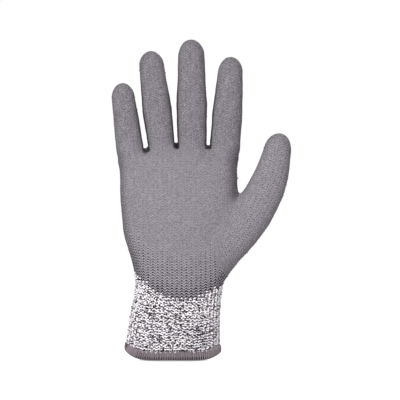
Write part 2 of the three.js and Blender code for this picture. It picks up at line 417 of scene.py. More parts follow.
@dataclass
class Thumb:
    """The thumb stall, a tube along a curved line."""

    line: tuple[tuple[float, ...], ...] = THUMB_LINE
    steps: int = 29
    rounded: float = 11.6 * MM
    heel: tuple[float, float] = (8 * MM, 20 * MM)
    spine: Array = field(init=False)

    @property
    def length(self) -> float:
        """From the start of the line to the tip."""
        return self.spine[-1, 4]

    def __post_init__(self) -> None:
        """Smooths the listed line into evenly spaced stations."""
        rows = np.array(self.line) * MM
        gaps = np.hypot(*np.diff(rows[:, :2], axis=0).T)
        reach = np.concatenate([[0.0], np.cumsum(gaps)])
        even = np.linspace(0.0, reach[-1], self.steps)
        spine = np.stack([np.interp(even, reach, rows[:, column]) for column in range(4)], axis=1)
        for _ in range(6):
            spine[1:-1] = spine[1:-1] * 0.5 + (spine[:-2] + spine[2:]) * 0.25
        gaps = np.hypot(*np.diff(spine[:, :2], axis=0).T)
        self.spine = np.column_stack([spine, np.concatenate([[0.0], np.cumsum(gaps)])])

    def local(self, points: Array) -> tuple[Array, Array, Array, Array, Array]:
        """Measures points against the nearest place on the thumb's line.

        Args:
            points: where to measure.

        Returns:
            Across, along and front coordinates, and the half width and half depth there.
        """
        spine = self.spine
        flat = points[:, (0, 2)]
        starts, ends = spine[:-1, :2], spine[1:, :2]
        steps = ends - starts
        lengths = np.hypot(steps[:, 0], steps[:, 1])
        units = steps / lengths[:, None]
        offset = flat[:, None, :] - starts[None]
        share = np.einsum("nkc,kc->nk", offset, units) / lengths
        held = np.clip(share, 0.0, 1.0)
        nearest = np.argmin(np.square(offset - held[..., None] * steps[None]).sum(axis=2), axis=1)
        pick = np.arange(len(points))
        t = held[pick, nearest]
        raw = share[pick, nearest]
        last = len(steps) - 1
        before, after = np.minimum(raw, 0.0), np.maximum(raw - 1.0, 0.0)
        over = np.where(nearest == last, after, np.where(nearest == 0, before, 0.0))
        here = spine[nearest] * (1 - t)[:, None] + spine[nearest + 1] * t[:, None]
        tangents = np.gradient(spine[:, :2], axis=0)
        tangents /= np.hypot(tangents[:, 0], tangents[:, 1])[:, None]
        unit = tangents[nearest] * (1 - t)[:, None] + tangents[nearest + 1] * t[:, None]
        unit /= np.hypot(unit[:, 0], unit[:, 1])[:, None]
        away = flat - here[:, :2]
        across = away[:, 0] * unit[:, 1] - away[:, 1] * unit[:, 0]
        along = here[:, 4] + over * lengths[nearest]
        return across, along, -points[:, 1], here[:, 2], here[:, 3]

    def level(self, points: Array) -> Array:
        """Signed distance of points from the stall's surface.

        Args:
            points: where to measure.

        Returns:
            The distances. The stall is round at both ends, and its heel lies hidden in the palm.
        """
        across, along, front, wide, deep = self.local(points)
        tip = np.maximum(along - (self.length - self.rounded), 0.0) / self.rounded
        heel = np.maximum(self.heel[0] - along, 0.0) / self.heel[1]
        return SECTION.level(across, front, tip + heel, wide, deep)

    def weave(self, points: Array) -> Array:
        """Where points lie in the knit.

        Args:
            points: where to measure.

        Returns:
            Distances across the wales, then along them.
        """
        across, along, front, wide, deep = self.local(points)
        return np.stack([SECTION.wrapped(across, front, wide, deep), along], axis=1)

    def ring(self, along: float, count: int) -> Array:
        """Evenly spaced points round one knitted row.

        Args:
            along: the row's distance along the thumb's line.
            count: how many points.

        Returns:
            The points.
        """
        reach = self.spine[:, 4]
        x, z, wide, deep = (float(np.interp(along, reach, self.spine[:, column])) for column in range(4))
        tangent = np.gradient(self.spine[:, :2], reach, axis=0)
        east, north = (float(np.interp(along, reach, tangent[:, axis])) for axis in (0, 1))
        across, front = SECTION.spaced(wide, deep, count).T
        direction = np.array([north, 0.0, -east]) / math.hypot(east, north)
        middle = np.array([x, 0.0, z])
        return middle + across[:, None] * direction - front[:, None] * np.array([0.0, 1.0, 0.0])


class Home(Enum):
    """The tube that a point of the glove belongs to."""

    TRUNK = 0
    LITTLE = 1
    RING = 2
    MIDDLE = 3
    INDEX = 4
    THUMB = 5


@dataclass
class Form:
    """The outer shape of the knitted liner, every tube joined smoothly."""

    trunk: Trunk
    stalls: list[Stall]
    thumb: Thumb
    web: float = 6 * MM
    thumb_web: float = 8.5 * MM

    def levels(self, points: Array) -> Array:
        """Signed distance from each tube, in the order of Home."""
        tubes = [self.trunk, *self.stalls, self.thumb]
        return np.stack([tube.level(points) for tube in tubes], axis=1)

    def level(self, points: Array) -> Array:
        """Signed distance of points from the joined surface.

        Args:
            points: where to measure.

        Returns:
            The distances, with a rounded web between the tubes.
        """
        levels = self.levels(points)
        fingers = levels[:, 1:5].min(axis=1)
        hand = smooth_min(levels[:, 0], fingers, self.web)
        return smooth_min(hand, levels[:, 5], self.thumb_web)

    def weave(self, points: Array, home: Array) -> Array:
        """Where points lie in the knit of the tube that each belongs to.

        Args:
            points: where to measure.
            home: each point's tube, a value of Home.

        Returns:
            Distances across the wales and along them, and 0.
        """
        found = np.zeros((len(points), 3))
        for index, tube in enumerate([self.trunk, *self.stalls, self.thumb]):
            mine = home == index
            found[mine, :2] = tube.weave(points[mine])
        return found

    def slope(self, points: Array) -> tuple[Array, Array]:
        """The level at points, and the outward direction there.

        Args:
            points: where to measure.

        Returns:
            The distances from the surface and the unit directions.
        """
        step = 0.05 * MM
        here = self.level(points)
        slope = np.stack([self.level(points + step * axis) - here for axis in np.eye(3)], axis=1) / step
        size = np.maximum(np.linalg.norm(slope, axis=1), 1e-6)
        return here / size, slope / size[:, None]

    def project(self, points: Array, offset: float = 0.0, rounds: int = 3) -> tuple[Array, Array]:
        """Moves points onto the surface.

        Args:
            points: near the surface.
            offset: how far outside the liner the surface lies.
            rounds: Newton steps.

        Returns:
            The moved points and the outward direction at each.
        """
        for _ in range(rounds):
            here, out = self.slope(points)
            points = points - (here - offset)[:, None] * out
        return points, out


class Mesher:
    """Builds Blender meshes from arrays."""

    @staticmethod
    def mesh(name: str, points: Array, faces: Array | list) -> bpy.types.Mesh:
        """A mesh of points and faces.

        Args:
            name: the mesh's name.
            points: its points, as rows.
            faces: the point numbers of each face.

        Returns:
            The mesh.
        """
        mesh = bpy.data.meshes.new(name)
        listed = faces.tolist() if isinstance(faces, np.ndarray) else faces
        mesh.from_pydata(np.asarray(points).tolist(), [], listed)
        mesh.update()
        return mesh

    @staticmethod
    def item(name: str, mesh: bpy.types.Mesh) -> bpy.types.Object:
        """An object in the scene."""
        thing = bpy.data.objects.new(name, mesh)
        bpy.context.scene.collection.objects.link(thing)
        return thing

    @staticmethod
    def vectors(mesh: bpy.types.Mesh, name: str, values: Array) -> None:
        """Stores a vector for each vertex."""
        layer = mesh.attributes.new(name, "FLOAT_VECTOR", "POINT")
        layer.data.foreach_set("vector", np.asarray(values, np.float32).ravel())

    @staticmethod
    def floats(mesh: bpy.types.Mesh, name: str, values: Array) -> None:
        """Stores a number for each vertex."""
        layer = mesh.attributes.new(name, "FLOAT", "POINT")
        layer.data.foreach_set("value", np.asarray(values, np.float32).ravel())

    @staticmethod
    def points_of(mesh: bpy.types.Mesh) -> Array:
        """The mesh's vertices as rows."""
        flat = np.empty(len(mesh.vertices) * 3, np.float32)
        mesh.vertices.foreach_get("co", flat)
        return flat.reshape(-1, 3).astype(float)

    @staticmethod
    def quads_of(mesh: bpy.types.Mesh) -> Array:
        """The mesh's four-sided faces.

        Args:
            mesh: the mesh to read.

        Returns:
            A row of vertex numbers for each face.
        """
        sizes = np.empty(len(mesh.polygons), np.int32)
        mesh.polygons.foreach_get("loop_total", sizes)
        corners = np.empty(len(mesh.loops), np.int32)
        mesh.loops.foreach_get("vertex_index", corners)
        starts = np.concatenate([[0], np.cumsum(sizes)[:-1]])[sizes == 4]
        return corners[starts[:, None] + np.arange(4)]

    @staticmethod
    def tube(
        centres: Array, across: Array, out: Array, wide: Array, deep: Array, sides: int
    ) -> tuple[Array, list]:
        """A closed tube of ellipses.

        Args:
            centres: one for each ring.
            across: the direction of each ring's width.
            out: the direction of each ring's depth.
            wide: half widths.
            deep: half depths.
            sides: points in a ring.

        Returns:
            The points and the faces, facing out.
        """
        turn = np.arange(sides) * 2 * math.pi / sides
        ring = across[:, None] * (wide[:, None] * np.cos(turn))[..., None]
        ring = ring + out[:, None] * (deep[:, None] * np.sin(turn))[..., None]
        points = (centres[:, None] + ring).reshape(-1, 3)
        faces = []
        for row in range(len(centres) - 1):
            for side in range(sides):
                after = (side + 1) % sides
                low, high = row * sides, (row + 1) * sides
                faces.append([low + side, low + after, high + after, high + side])
        faces.append(list(range(sides))[::-1])
        faces.append([(len(centres) - 1) * sides + side for side in range(sides)])
        return points, faces

    @staticmethod
    def sweep(path: Array, level: Array, section: Array, closed: bool) -> tuple[Array, list]:
        """A closed skin of one section along a path.

        Args:
            path: the points that it follows.
            level: a direction that the path never runs along. The section's second axis lies nearest to it.
            section: points round the section.
            closed: whether the path's end meets its start.

        Returns:
            The points and the faces, facing out.
        """
        if closed:
            tangent = np.roll(path, -1, axis=0) - np.roll(path, 1, axis=0)
        else:
            tangent = np.gradient(path, axis=0)
        tangent /= np.linalg.norm(tangent, axis=1)[:, None]
        side = np.cross(tangent, level)
        side /= np.linalg.norm(side, axis=1)[:, None]
        up = np.cross(side, tangent)
        ring = side[:, None] * section[None, :, :1] + up[:, None] * section[None, :, 1:]
        points = (path[:, None] + ring).reshape(-1, 3)
        count = len(section)
        faces = []
        for row in range(len(path) if closed else len(path) - 1):
            low, high = row * count, ((row + 1) % len(path)) * count
            for corner in range(count):
                after = (corner + 1) % count
                faces.append([low + corner, high + corner, high + after, low + after])
        if not closed:
            faces.append(list(range(count)))
            faces.append([(len(path) - 1) * count + corner for corner in range(count)][::-1])
        return points, faces

    @staticmethod
    def ring(name: str, path: Array, section: Array, finish: bpy.types.Material) -> bpy.types.Object:
        """A smooth closed ring round the cuff.

        Args:
            name: the object's name.
            path: the points that it follows.
            section: points round its section.
            finish: its material.

        Returns:
            The ring.
        """
        points, faces = Mesher.sweep(path, np.array([0.0, 0.0, 1.0]), section, closed=True)
        mesh = Mesher.mesh(name, points, faces)
        mesh.materials.append(finish)
        mesh.polygons.foreach_set("use_smooth", np.ones(len(faces), bool))
        Mesher.vectors(mesh, "rest", points)
        return Mesher.item(name, mesh)

    @staticmethod
    def part(
        name: str, points: Array, quads: Array, normals: Array, values: dict[str, Array]
    ) -> bpy.types.Object:
        """A smooth object made of some of a net's faces.

        Args:
            name: the object's name.
            points: all the net's points.
            quads: the faces to take.
            normals: the shading direction at each point.
            values: attributes to store, by name, each with a number or a vector for each point.

        Returns:
            The object.
        """
        used, corners = np.unique(quads, return_inverse=True)
        mesh = Mesher.mesh(name, points[used], corners.reshape(quads.shape))
        for title, value in values.items():
            store = Mesher.floats if value.ndim == 1 else Mesher.vectors
            store(mesh, title, value[used])
        mesh.polygons.foreach_set("use_smooth", np.ones(len(mesh.polygons), bool))
        mesh.normals_split_custom_set_from_vertices(normals[used].tolist())
        return Mesher.item(name, mesh)

    @staticmethod
    def normals(points: Array, quads: Array) -> Array:
        """The direction of the surface at each point of a net.

        Args:
            points: the net's points.
            quads: its faces.

        Returns:
            A unit direction for each point.
        """
        flat = np.cross(points[quads[:, 2]] - points[quads[:, 0]], points[quads[:, 3]] - points[quads[:, 1]])
        total = np.zeros_like(points)
        for corner in range(4):
            for axis in range(3):
                total[:, axis] += np.bincount(quads[:, corner], flat[:, axis], len(points))
        return total / np.maximum(np.linalg.norm(total, axis=1), 1e-12)[:, None]


@dataclass
class Surface:
    """An even net of four-sided faces over the form."""

    points: Array
    quads: Array
    out: Array

    @classmethod
    def over(cls, form: Form, size: float, offset: float = 0.0) -> "Surface":
        """Covers the form.

        Args:
            form: the shape to cover.
            size: the length of a face's side.
            offset: how far outside the liner's outer face the net lies.

        Returns:
            The net.
        """
        points, faces = cls.rough(form, offset)
        mesh = Mesher.mesh("rough", points, faces)
        rough = Mesher.item("rough", mesh)
        remesh = rough.modifiers.new("net", "REMESH")
        remesh.mode = "VOXEL"
        remesh.voxel_size = size
        evaluated = rough.evaluated_get(bpy.context.evaluated_depsgraph_get())
        net = bpy.data.meshes.new_from_object(evaluated)
        points, quads = Mesher.points_of(net), Mesher.quads_of(net)
        bpy.data.objects.remove(rough)
        bpy.data.meshes.remove(mesh)
        bpy.data.meshes.remove(net)
        points, _ = form.project(points, offset, rounds=3)
        points = cls.relaxed(points, quads, rounds=4)
        points, out = form.project(points, offset, rounds=2)
        return cls(points, quads, out)

    @staticmethod
    def relaxed(points: Array, quads: Array, rounds: int) -> Array:
        """Evens out the net: each point moves half way to the middle of its neighbours.

        Args:
            points: the net's points.
            quads: its faces.
            rounds: how many times.

        Returns:
            The moved points.
        """
        ends = np.concatenate([quads[:, (0, 1)], quads[:, (1, 2)], quads[:, (2, 3)], quads[:, (3, 0)]])
        count = np.maximum(np.bincount(ends[:, 0], minlength=len(points)), 1)
        for _ in range(rounds):
            moved = np.stack(
                [np.bincount(ends[:, 0], points[ends[:, 1], axis], len(points)) for axis in range(3)], axis=1
            )
            points = points * 0.5 + moved / count[:, None] * 0.5
        return points

    @staticmethod
    def rough(form: Form, offset: float) -> tuple[Array, list]:
        """Overlapping closed tubes near the surface that lies this far outside the form.

        Args:
            form: the shape to follow.
            offset: how far outside it the tubes lie.

        Returns:
            The points and the faces.
        """
        points: list[Array] = []
        faces: list[list[int]] = []

        def add(centres: Array, across: Array, wide: Array, deep: Array) -> None:
            """Adds one tube."""
            out = np.tile([0.0, 1.0, 0.0], (len(centres), 1))
            more, sides = Mesher.tube(centres, across, out, wide + offset, deep + offset, 40)
            start = sum(len(part) for part in points)
            faces.extend([[start + corner for corner in side] for side in sides])
            points.append(more)

        round_over = np.array([0.0, 0.35, 0.62, 0.83, 0.95])
        start, end = (height * MM for height in TRUNK_TOP)
        heights = np.concatenate([np.linspace(-5 * MM, start, 34), start + np.array([6, 11]) * MM])
        centre, wide, deep = form.trunk.sizes(heights)
        shrink = np.sqrt(1 - (np.maximum(heights - start, 0) / (end - start)) ** 2)
        middles = np.stack([centre, 0 * centre, heights], axis=1)
        add(middles, np.tile([1.0, 0, 0], (len(heights), 1)), wide * shrink, deep * shrink)
        for stall in form.stalls:
            cap = stall.dome + (stall.length - stall.dome) * round_over
            along = np.concatenate([[-12 * MM], np.linspace(0, stall.dome, 8)[:-1], cap])
            wide, deep = stall.sizes(along)
            shrink = np.concatenate([np.ones(8), np.sqrt(1 - round_over**2)])
            middles = np.array(stall.root) + along[:, None] * stall.along
            add(middles, np.tile(stall.across, (len(along), 1)), wide * shrink, deep * shrink)
        spine = form.thumb.spine
        tangent = np.gradient(spine[:, :2], axis=0)
        tangent /= np.hypot(tangent[:, 0], tangent[:, 1])[:, None]
        rounded = form.thumb.rounded
        past = np.maximum(spine[:, 4] - form.thumb.length + rounded, 0) / rounded
        shrink = np.sqrt(np.maximum(1 - past**2, 0.05))
        middles = np.stack([spine[:, 0], 0 * spine[:, 0], spine[:, 1]], axis=1)
        across = np.stack([tangent[:, 1], 0 * tangent[:, 0], -tangent[:, 0]], axis=1)
        add(middles, across, spine[:, 2] * shrink, spine[:, 3] * shrink)
        return np.concatenate(points), faces


@dataclass(frozen=True)
class Dip:
    """Where the film lies on the liner, and how strongly the stitches show through it."""

    low: float = 49.3 * MM
    rise: float = 18.5 * MM
    middle: float = 9 * MM
    half: float = 37 * MM
    power: float = 2.4
    most: float = 1.02
    wrap: float = 3.2 * MM
    cap: float = 10 * MM
    proud: float = 0.34 * MM
    sunk: float = 0.75 * MM
    scallop: tuple[float, float] = (0.5 * MM, 0.35 * MM)
    drift: float = 0.7 * MM
    on_thumb: float = 0.2

    def edge(self, x: Array) -> Array:
        """Height of the film's lower edge."""
        share = np.minimum(np.abs((x - self.middle) / self.half), self.most)
        return self.low + self.rise * share**self.power

    def cover(self, form: Form, points: Array, weave: Array) -> Array:
        """How far points lie inside the film, whose edge follows the stitches and drifts a little.

        Args:
            form: the liner's shape.
            points: where to measure.
            weave: where each point lies in the knit.

        Returns:
            The distances, negative outside the film.
        """
        wale = weave[:, 0] * 2 * math.pi / KNIT.wale
        course = weave[:, 1] * 2 * math.pi / (3 * KNIT.course)
        scallop = self.scallop[0] * np.cos(wale) + self.scallop[1] * np.sin(course)
        drift = self.drift * np.sin(points[:, 2] * 170 + points[:, 0] * 90)
        side = self.wrap - points[:, 1] + drift
        for stall in form.stalls:
            across, along, _ = stall.local(points)
            beside = np.abs(across) < stall.wide[0] + 2 * MM
            side = np.maximum(side, np.where(beside, along - (stall.length - self.cap), -1.0))
        _, along, _, _, _ = form.thumb.local(points)
        near = form.thumb.level(points) < 2 * MM
        side = np.maximum(side, np.where(near, along - (form.thumb.length - self.cap), -1.0))
        return np.minimum(side, points[:, 2] - self.edge(points[:, 0])) + scallop

    def show(self, form: Form, points: Array, home: Array) -> Array:
        """How strongly the stitches show through the film.

        Args:
            form: the liner's shape.
            points: where to measure.
            home: each point's tube, a value of Home.

        Returns:
            From 0, where the film is smooth, to 1, as at its lower edge.
        """
        x, y, z = points.T
        above = z - self.edge(x)
        centre, wide, _ = form.trunk.sizes(z)
        side = np.abs(x - centre) / wide
        edge = 0.10 + 0.90 * (1 - smoothstep(3 * MM, 18 * MM, above))
        heel = 0.50 * (1 - smoothstep(16 * MM, 46 * MM, above))
        sides = 0.36 * smoothstep(0.80, 0.95, side) * (1 - smoothstep(130 * MM, 160 * MM, z))
        corners = 0.95 * smoothstep(0.72, 0.92, side) * (1 - smoothstep(78 * MM, 112 * MM, z))
        palm = np.maximum.reduce([edge, heel, sides, corners])
        fingers = 0.13 + 0.15 * smoothstep(-5 * MM, 0.0, y)
        return np.select([home == Home.TRUNK.value, home == Home.THUMB.value], [palm, self.on_thumb], fingers)


DIP = Dip()


@dataclass
class Zone:
    """A length of the glove that bends at one joint."""

    name: str
    near: str
    far: str
    start: Array
    end: Array

    def bend(self, piece: bpy.types.Object) -> None:
        """Bakes a piece's placement into its mesh; nothing bends it."""
        tuple(self.start)
        tuple(self.end)
        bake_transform(piece)


@dataclass
class Zones:
    """Every bending length of the glove, and which points belong to each."""

    form: Form
    joints: dict[str, dict]
    zones: list[Zone] = field(default_factory=list)
    cuts: list[list[float]] = field(default_factory=list)
    half: tuple[float, float, float] = (6.5 * MM, 7.0 * MM, 6.0 * MM)
    little_half: float = 6 * MM
    root_cut: float = 2.6 * MM
    wrist_band: tuple[float, float] = (-12 * MM, 14 * MM)
    thumb_band: tuple[float, float] = (1 * MM, 15 * MM)
    tip_half: float = 7 * MM
    tip_cut: float = -10 * MM

    def __post_init__(self) -> None:
        """Lists the lengths in the order of their labels."""
        up = np.array([0.0, 0.0, 1.0])
        self.add("palm", "cuff", self.pivot("wrist"), up, self.wrist_band)
        for stall in self.form.stalls:
            marks = []
            for index, joint in enumerate(JOINTS):
                pivot = self.pivot(f"{stall.name}_{joint}")
                near = "palm" if index == 0 else f"{stall.name}_{LENGTHS[index - 1]}"
                half = min(self.half[index], self.little_half) if stall.name == "little" else self.half[index]
                self.add(f"{stall.name}_{LENGTHS[index]}", near, pivot, stall.along, (-half, half))
                marks.append(float((pivot - np.array(stall.root)) @ stall.along))
            self.cuts.append([self.root_cut, (marks[0] + marks[1]) / 2, (marks[1] + marks[2]) / 2])
        root, knuckle = self.pivot("thumb_knuckle"), self.pivot("thumb_tip_joint")
        self.add("thumb_base", "palm", root, self.heading("thumb_knuckle"), self.thumb_band)
        band = (-self.tip_half, self.tip_half)
        self.add("thumb_tip", "thumb_base", knuckle, self.heading("thumb_tip_joint"), band)

    def add(self, name: str, near: str, pivot: Array, way: Array, band: tuple[float, float]) -> None:
        """Lists one length.

        Args:
            name: the length's name, and its body's.
            near: the body that it bends from.
            pivot: where its joint is.
            way: the direction along it.
            band: how far before and past the joint the bend starts and ends.
        """
        self.zones.append(Zone(name, near, name, pivot + band[0] * way, pivot + band[1] * way))

    def past(self, joint: str, points: Array) -> Array:
        """How far points lie past a thumb joint."""
        return (points - self.pivot(joint)) @ self.heading(joint)

    def pivot(self, joint: str) -> Array:
        """A joint's place."""
        return np.array(self.joints[joint]["pos_m"], float)

    def heading(self, joint: str) -> Array:
        """The direction away from the wrist at a joint."""
        across = self.joints[joint]["axis"]
        return np.array([-across[2], 0.0, across[0]])

    def labels(self, points: Array) -> Array:
        """Finds the length that each point belongs to.

        Args:
            points: where to look.

        Returns:
            Each point's place in the list of lengths.
        """
        levels = self.form.levels(points)
        finger = levels[:, 1:5].argmin(axis=1)
        label = np.zeros(len(points), int)
        thumb = levels[:, 5] < levels[:, :5].min(axis=1)
        thumb &= self.past("thumb_knuckle", points) > 0
        label[thumb] = len(self.zones) - 2
        label[thumb & (self.past("thumb_tip_joint", points) > self.tip_cut)] = len(self.zones) - 1
        for index, (stall, cuts) in enumerate(zip(self.form.stalls, self.cuts)):
            _, along, _ = stall.local(points)
            mine = (finger == index) & (along > cuts[0]) & ~thumb
            first = 1 + len(LENGTHS) * index
            label[mine] = first + (along[mine] > cuts[1]) + (along[mine] > cuts[2])
        return label


class Shade:
    """Short ways to lay and link shader and geometry nodes."""

    def __init__(self, tree: bpy.types.NodeTree) -> None:
        """Starts on a node tree."""
        self.tree = tree

    def add(self, kind: str, *links: object, **settings: object) -> bpy.types.Node:
        """Adds a node.

        Args:
            kind: the node's type name.
            links: a value or another node's socket for each input in turn, or None to leave it.
            settings: the node's own properties.

        Returns:
            The node.
        """
        node = self.tree.nodes.new(kind)
        for name, value in settings.items():
            setattr(node, name, value)
        for index, value in enumerate(links):
            self.feed(node.inputs[index], value)
        return node

    def feed(self, socket: bpy.types.NodeSocket, value: object) -> None:
        """Links a socket or sets its value."""
        if isinstance(value, bpy.types.NodeSocket):
            self.tree.links.new(value, socket)
        elif value is not None:
            socket.default_value = value

    def math(self, operation: str, *links: object) -> bpy.types.NodeSocket:
        """The result of a Math node."""
        return self.add("ShaderNodeMath", *links, operation=operation).outputs[0]

    def read(self, name: str) -> bpy.types.Node:
        """A node that reads an attribute of the mesh."""
        return self.add("ShaderNodeAttribute", attribute_name=name)

    def texture(self, kind: str, place: object, **inputs: object) -> bpy.types.Node:
        """Adds a texture.

        Args:
            kind: the texture's name.
            place: where it is read.
            inputs: values or sockets for its inputs, by name.

        Returns:
            The node.
        """
        node = self.add(f"ShaderNodeTex{kind}", place)
        for name, value in inputs.items():
            self.feed(node.inputs[name], value)
        return node

    def vector(self, operation: str, *links: object) -> bpy.types.NodeSocket:
        """The result of a Vector Math node."""
        return self.add("ShaderNodeVectorMath", *links, operation=operation).outputs[0]

    def scaled(self, color: object, factor: object) -> bpy.types.NodeSocket:
        """A colour or direction times a number."""
        node = self.add("ShaderNodeVectorMath", color, operation="SCALE")
        self.feed(node.inputs["Scale"], factor)
        return node.outputs[0]

    def mix(self, share: object, low: object, high: object) -> bpy.types.NodeSocket:
        """A colour between low and high.

        Args:
            share: 0 for low, 1 for high.
            low: a colour or its socket.
            high: a colour or its socket.

        Returns:
            The mixed colour's socket.
        """
        node = self.add("ShaderNodeMix", data_type="RGBA")
        self.feed(node.inputs[0], share)
        self.feed(node.inputs[6], low)
        self.feed(node.inputs[7], high)
        return node.outputs[2]

    def ramp(self, share: object, stops: tuple[tuple[float, float], ...]) -> bpy.types.NodeSocket:
        """A grey for each share, in straight lines between stops.

        Args:
            share: from 0 to 1.
            stops: each stop's share and its grey.

        Returns:
            The grey's socket.
        """
        node = self.add("ShaderNodeValToRGB", share)
        bar = node.color_ramp.elements
        while len(bar) < len(stops):
            bar.new(0.5)
        for element, (place, grey) in zip(bar, stops):
            element.position = place
            element.color = (grey, grey, grey, 1.0)
        return node.outputs[0]


class Effects:
    """Shader effects that more than one finish uses."""

    def __init__(self) -> None:
        """Builds each group once."""
        self.loops = self.loop_relief()
        self.fleck = self.melange()

    @staticmethod
    def group(name: str, inputs: dict[str, str], outputs: dict[str, str]) -> tuple[bpy.types.NodeTree, Shade]:
        """Starts a shader group.

        Args:
            name: the group's name.
            inputs: each input's name and kind.
            outputs: each output's name and kind.

        Returns:
            The empty group with its sockets, and what lays nodes in it.
        """
        tree = bpy.data.node_groups.new(name, "ShaderNodeTree")
        for title, kind in inputs.items():
            tree.interface.new_socket(title, in_out="INPUT", socket_type=kind)
        for title, kind in outputs.items():
            tree.interface.new_socket(title, in_out="OUTPUT", socket_type=kind)
        return tree, Shade(tree)

    def loop_relief(self) -> bpy.types.NodeTree:
        """Rows of knitted loops.

        Returns:
            A group that gives their height from 0 to 1, and a mask of the holes under the crest of each loop.
        """
        tree, s = self.group(
            "Loop relief",
            {
                "Weave": "NodeSocketVector",
                "Wale": "NodeSocketFloat",
                "Course": "NodeSocketFloat",
                "Threshold": "NodeSocketFloat",
            },
            {"Ridge": "NodeSocketFloat", "Hole": "NodeSocketFloat"},
        )
        start = s.add("NodeGroupInput")
        split = s.add("ShaderNodeSeparateXYZ", start.outputs[0])
        turn = s.math("MULTIPLY", s.math("DIVIDE", split.outputs[0], start.outputs[1]), 2 * math.pi)
        wave = s.math("COSINE", turn)
        course = s.math("DIVIDE", split.outputs[1], start.outputs[2])
        row = s.math("SUBTRACT", course, s.math("MULTIPLY", wave, KNIT.lean))
        ridge = s.math("COSINE", s.math("MULTIPLY", row, 2 * math.pi))
        gap = s.math("MAXIMUM", s.math("SUBTRACT", 0.85, ridge), 0.0)
        under = s.math("MAXIMUM", s.math("ADD", wave, 0.5), 0.0)
        open_here = s.math("SUBTRACT", s.math("MULTIPLY", gap, under), start.outputs[3])
        end = s.add("NodeGroupOutput")
        s.feed(end.inputs[0], s.math("MULTIPLY_ADD", ridge, 0.5, 0.5))
        s.feed(end.inputs[1], s.add("ShaderNodeClamp", s.math("MULTIPLY", open_here, 4.0)).outputs[0])
        return tree

    def melange(self) -> bpy.types.NodeTree:
        """Short random lengths of white, grey and dark along a yarn.

        Returns:
            A group that gives one random share for each length.
        """
        tree, s = self.group(
            "Melange flecks",
            {"Place": "NodeSocketVector", "Length": "NodeSocketFloat"},
            {"Share": "NodeSocketFloat"},
        )
        start = s.add("NodeGroupInput")
        cells = s.texture("Voronoi", start.outputs[0], Scale=s.math("DIVIDE", 1.0, start.outputs[1]))
        end = s.add("NodeGroupOutput")
        s.feed(end.inputs[0], s.add("ShaderNodeSeparateColor", cells.outputs["Color"]).outputs[0])
        return tree


@dataclass(frozen=True)
class Finish:
    """A finish: its base look, which each kind of finish adds to."""

    name: str
    slot: str
    color: tuple[float, float, float]
    roughness: float

    def start(self) -> tuple[bpy.types.Material, Shade, bpy.types.Node]:
        """Starts the material.

        Returns:
            The material with its colour and roughness set, what lays its nodes, and its shader.
        """
        material = bpy.data.materials.new(self.name)
        material.use_nodes = True
        shader = material.node_tree.nodes["Principled BSDF"]
        shader.inputs["Base Color"].default_value = (*self.color, 1.0)
        shader.inputs["Roughness"].default_value = self.roughness
        shader.inputs["Specular IOR Level"].default_value = 0.18
        return material, Shade(material.node_tree), shader

    @staticmethod
    def bump(s: Shade, shader: bpy.types.Node, height: object, distance: float) -> None:
        """Adds a bump.

        Args:
            s: what lays the material's nodes.
            shader: the material's shader.
            height: the height from 0 to 1.
            distance: how deep the bump is.
        """
        node = s.add("ShaderNodeBump")
        node.inputs["Strength"].default_value = 1.0
        node.inputs["Distance"].default_value = distance
        s.feed(node.inputs["Height"], height)
        s.feed(shader.inputs["Normal"], node.outputs[0])


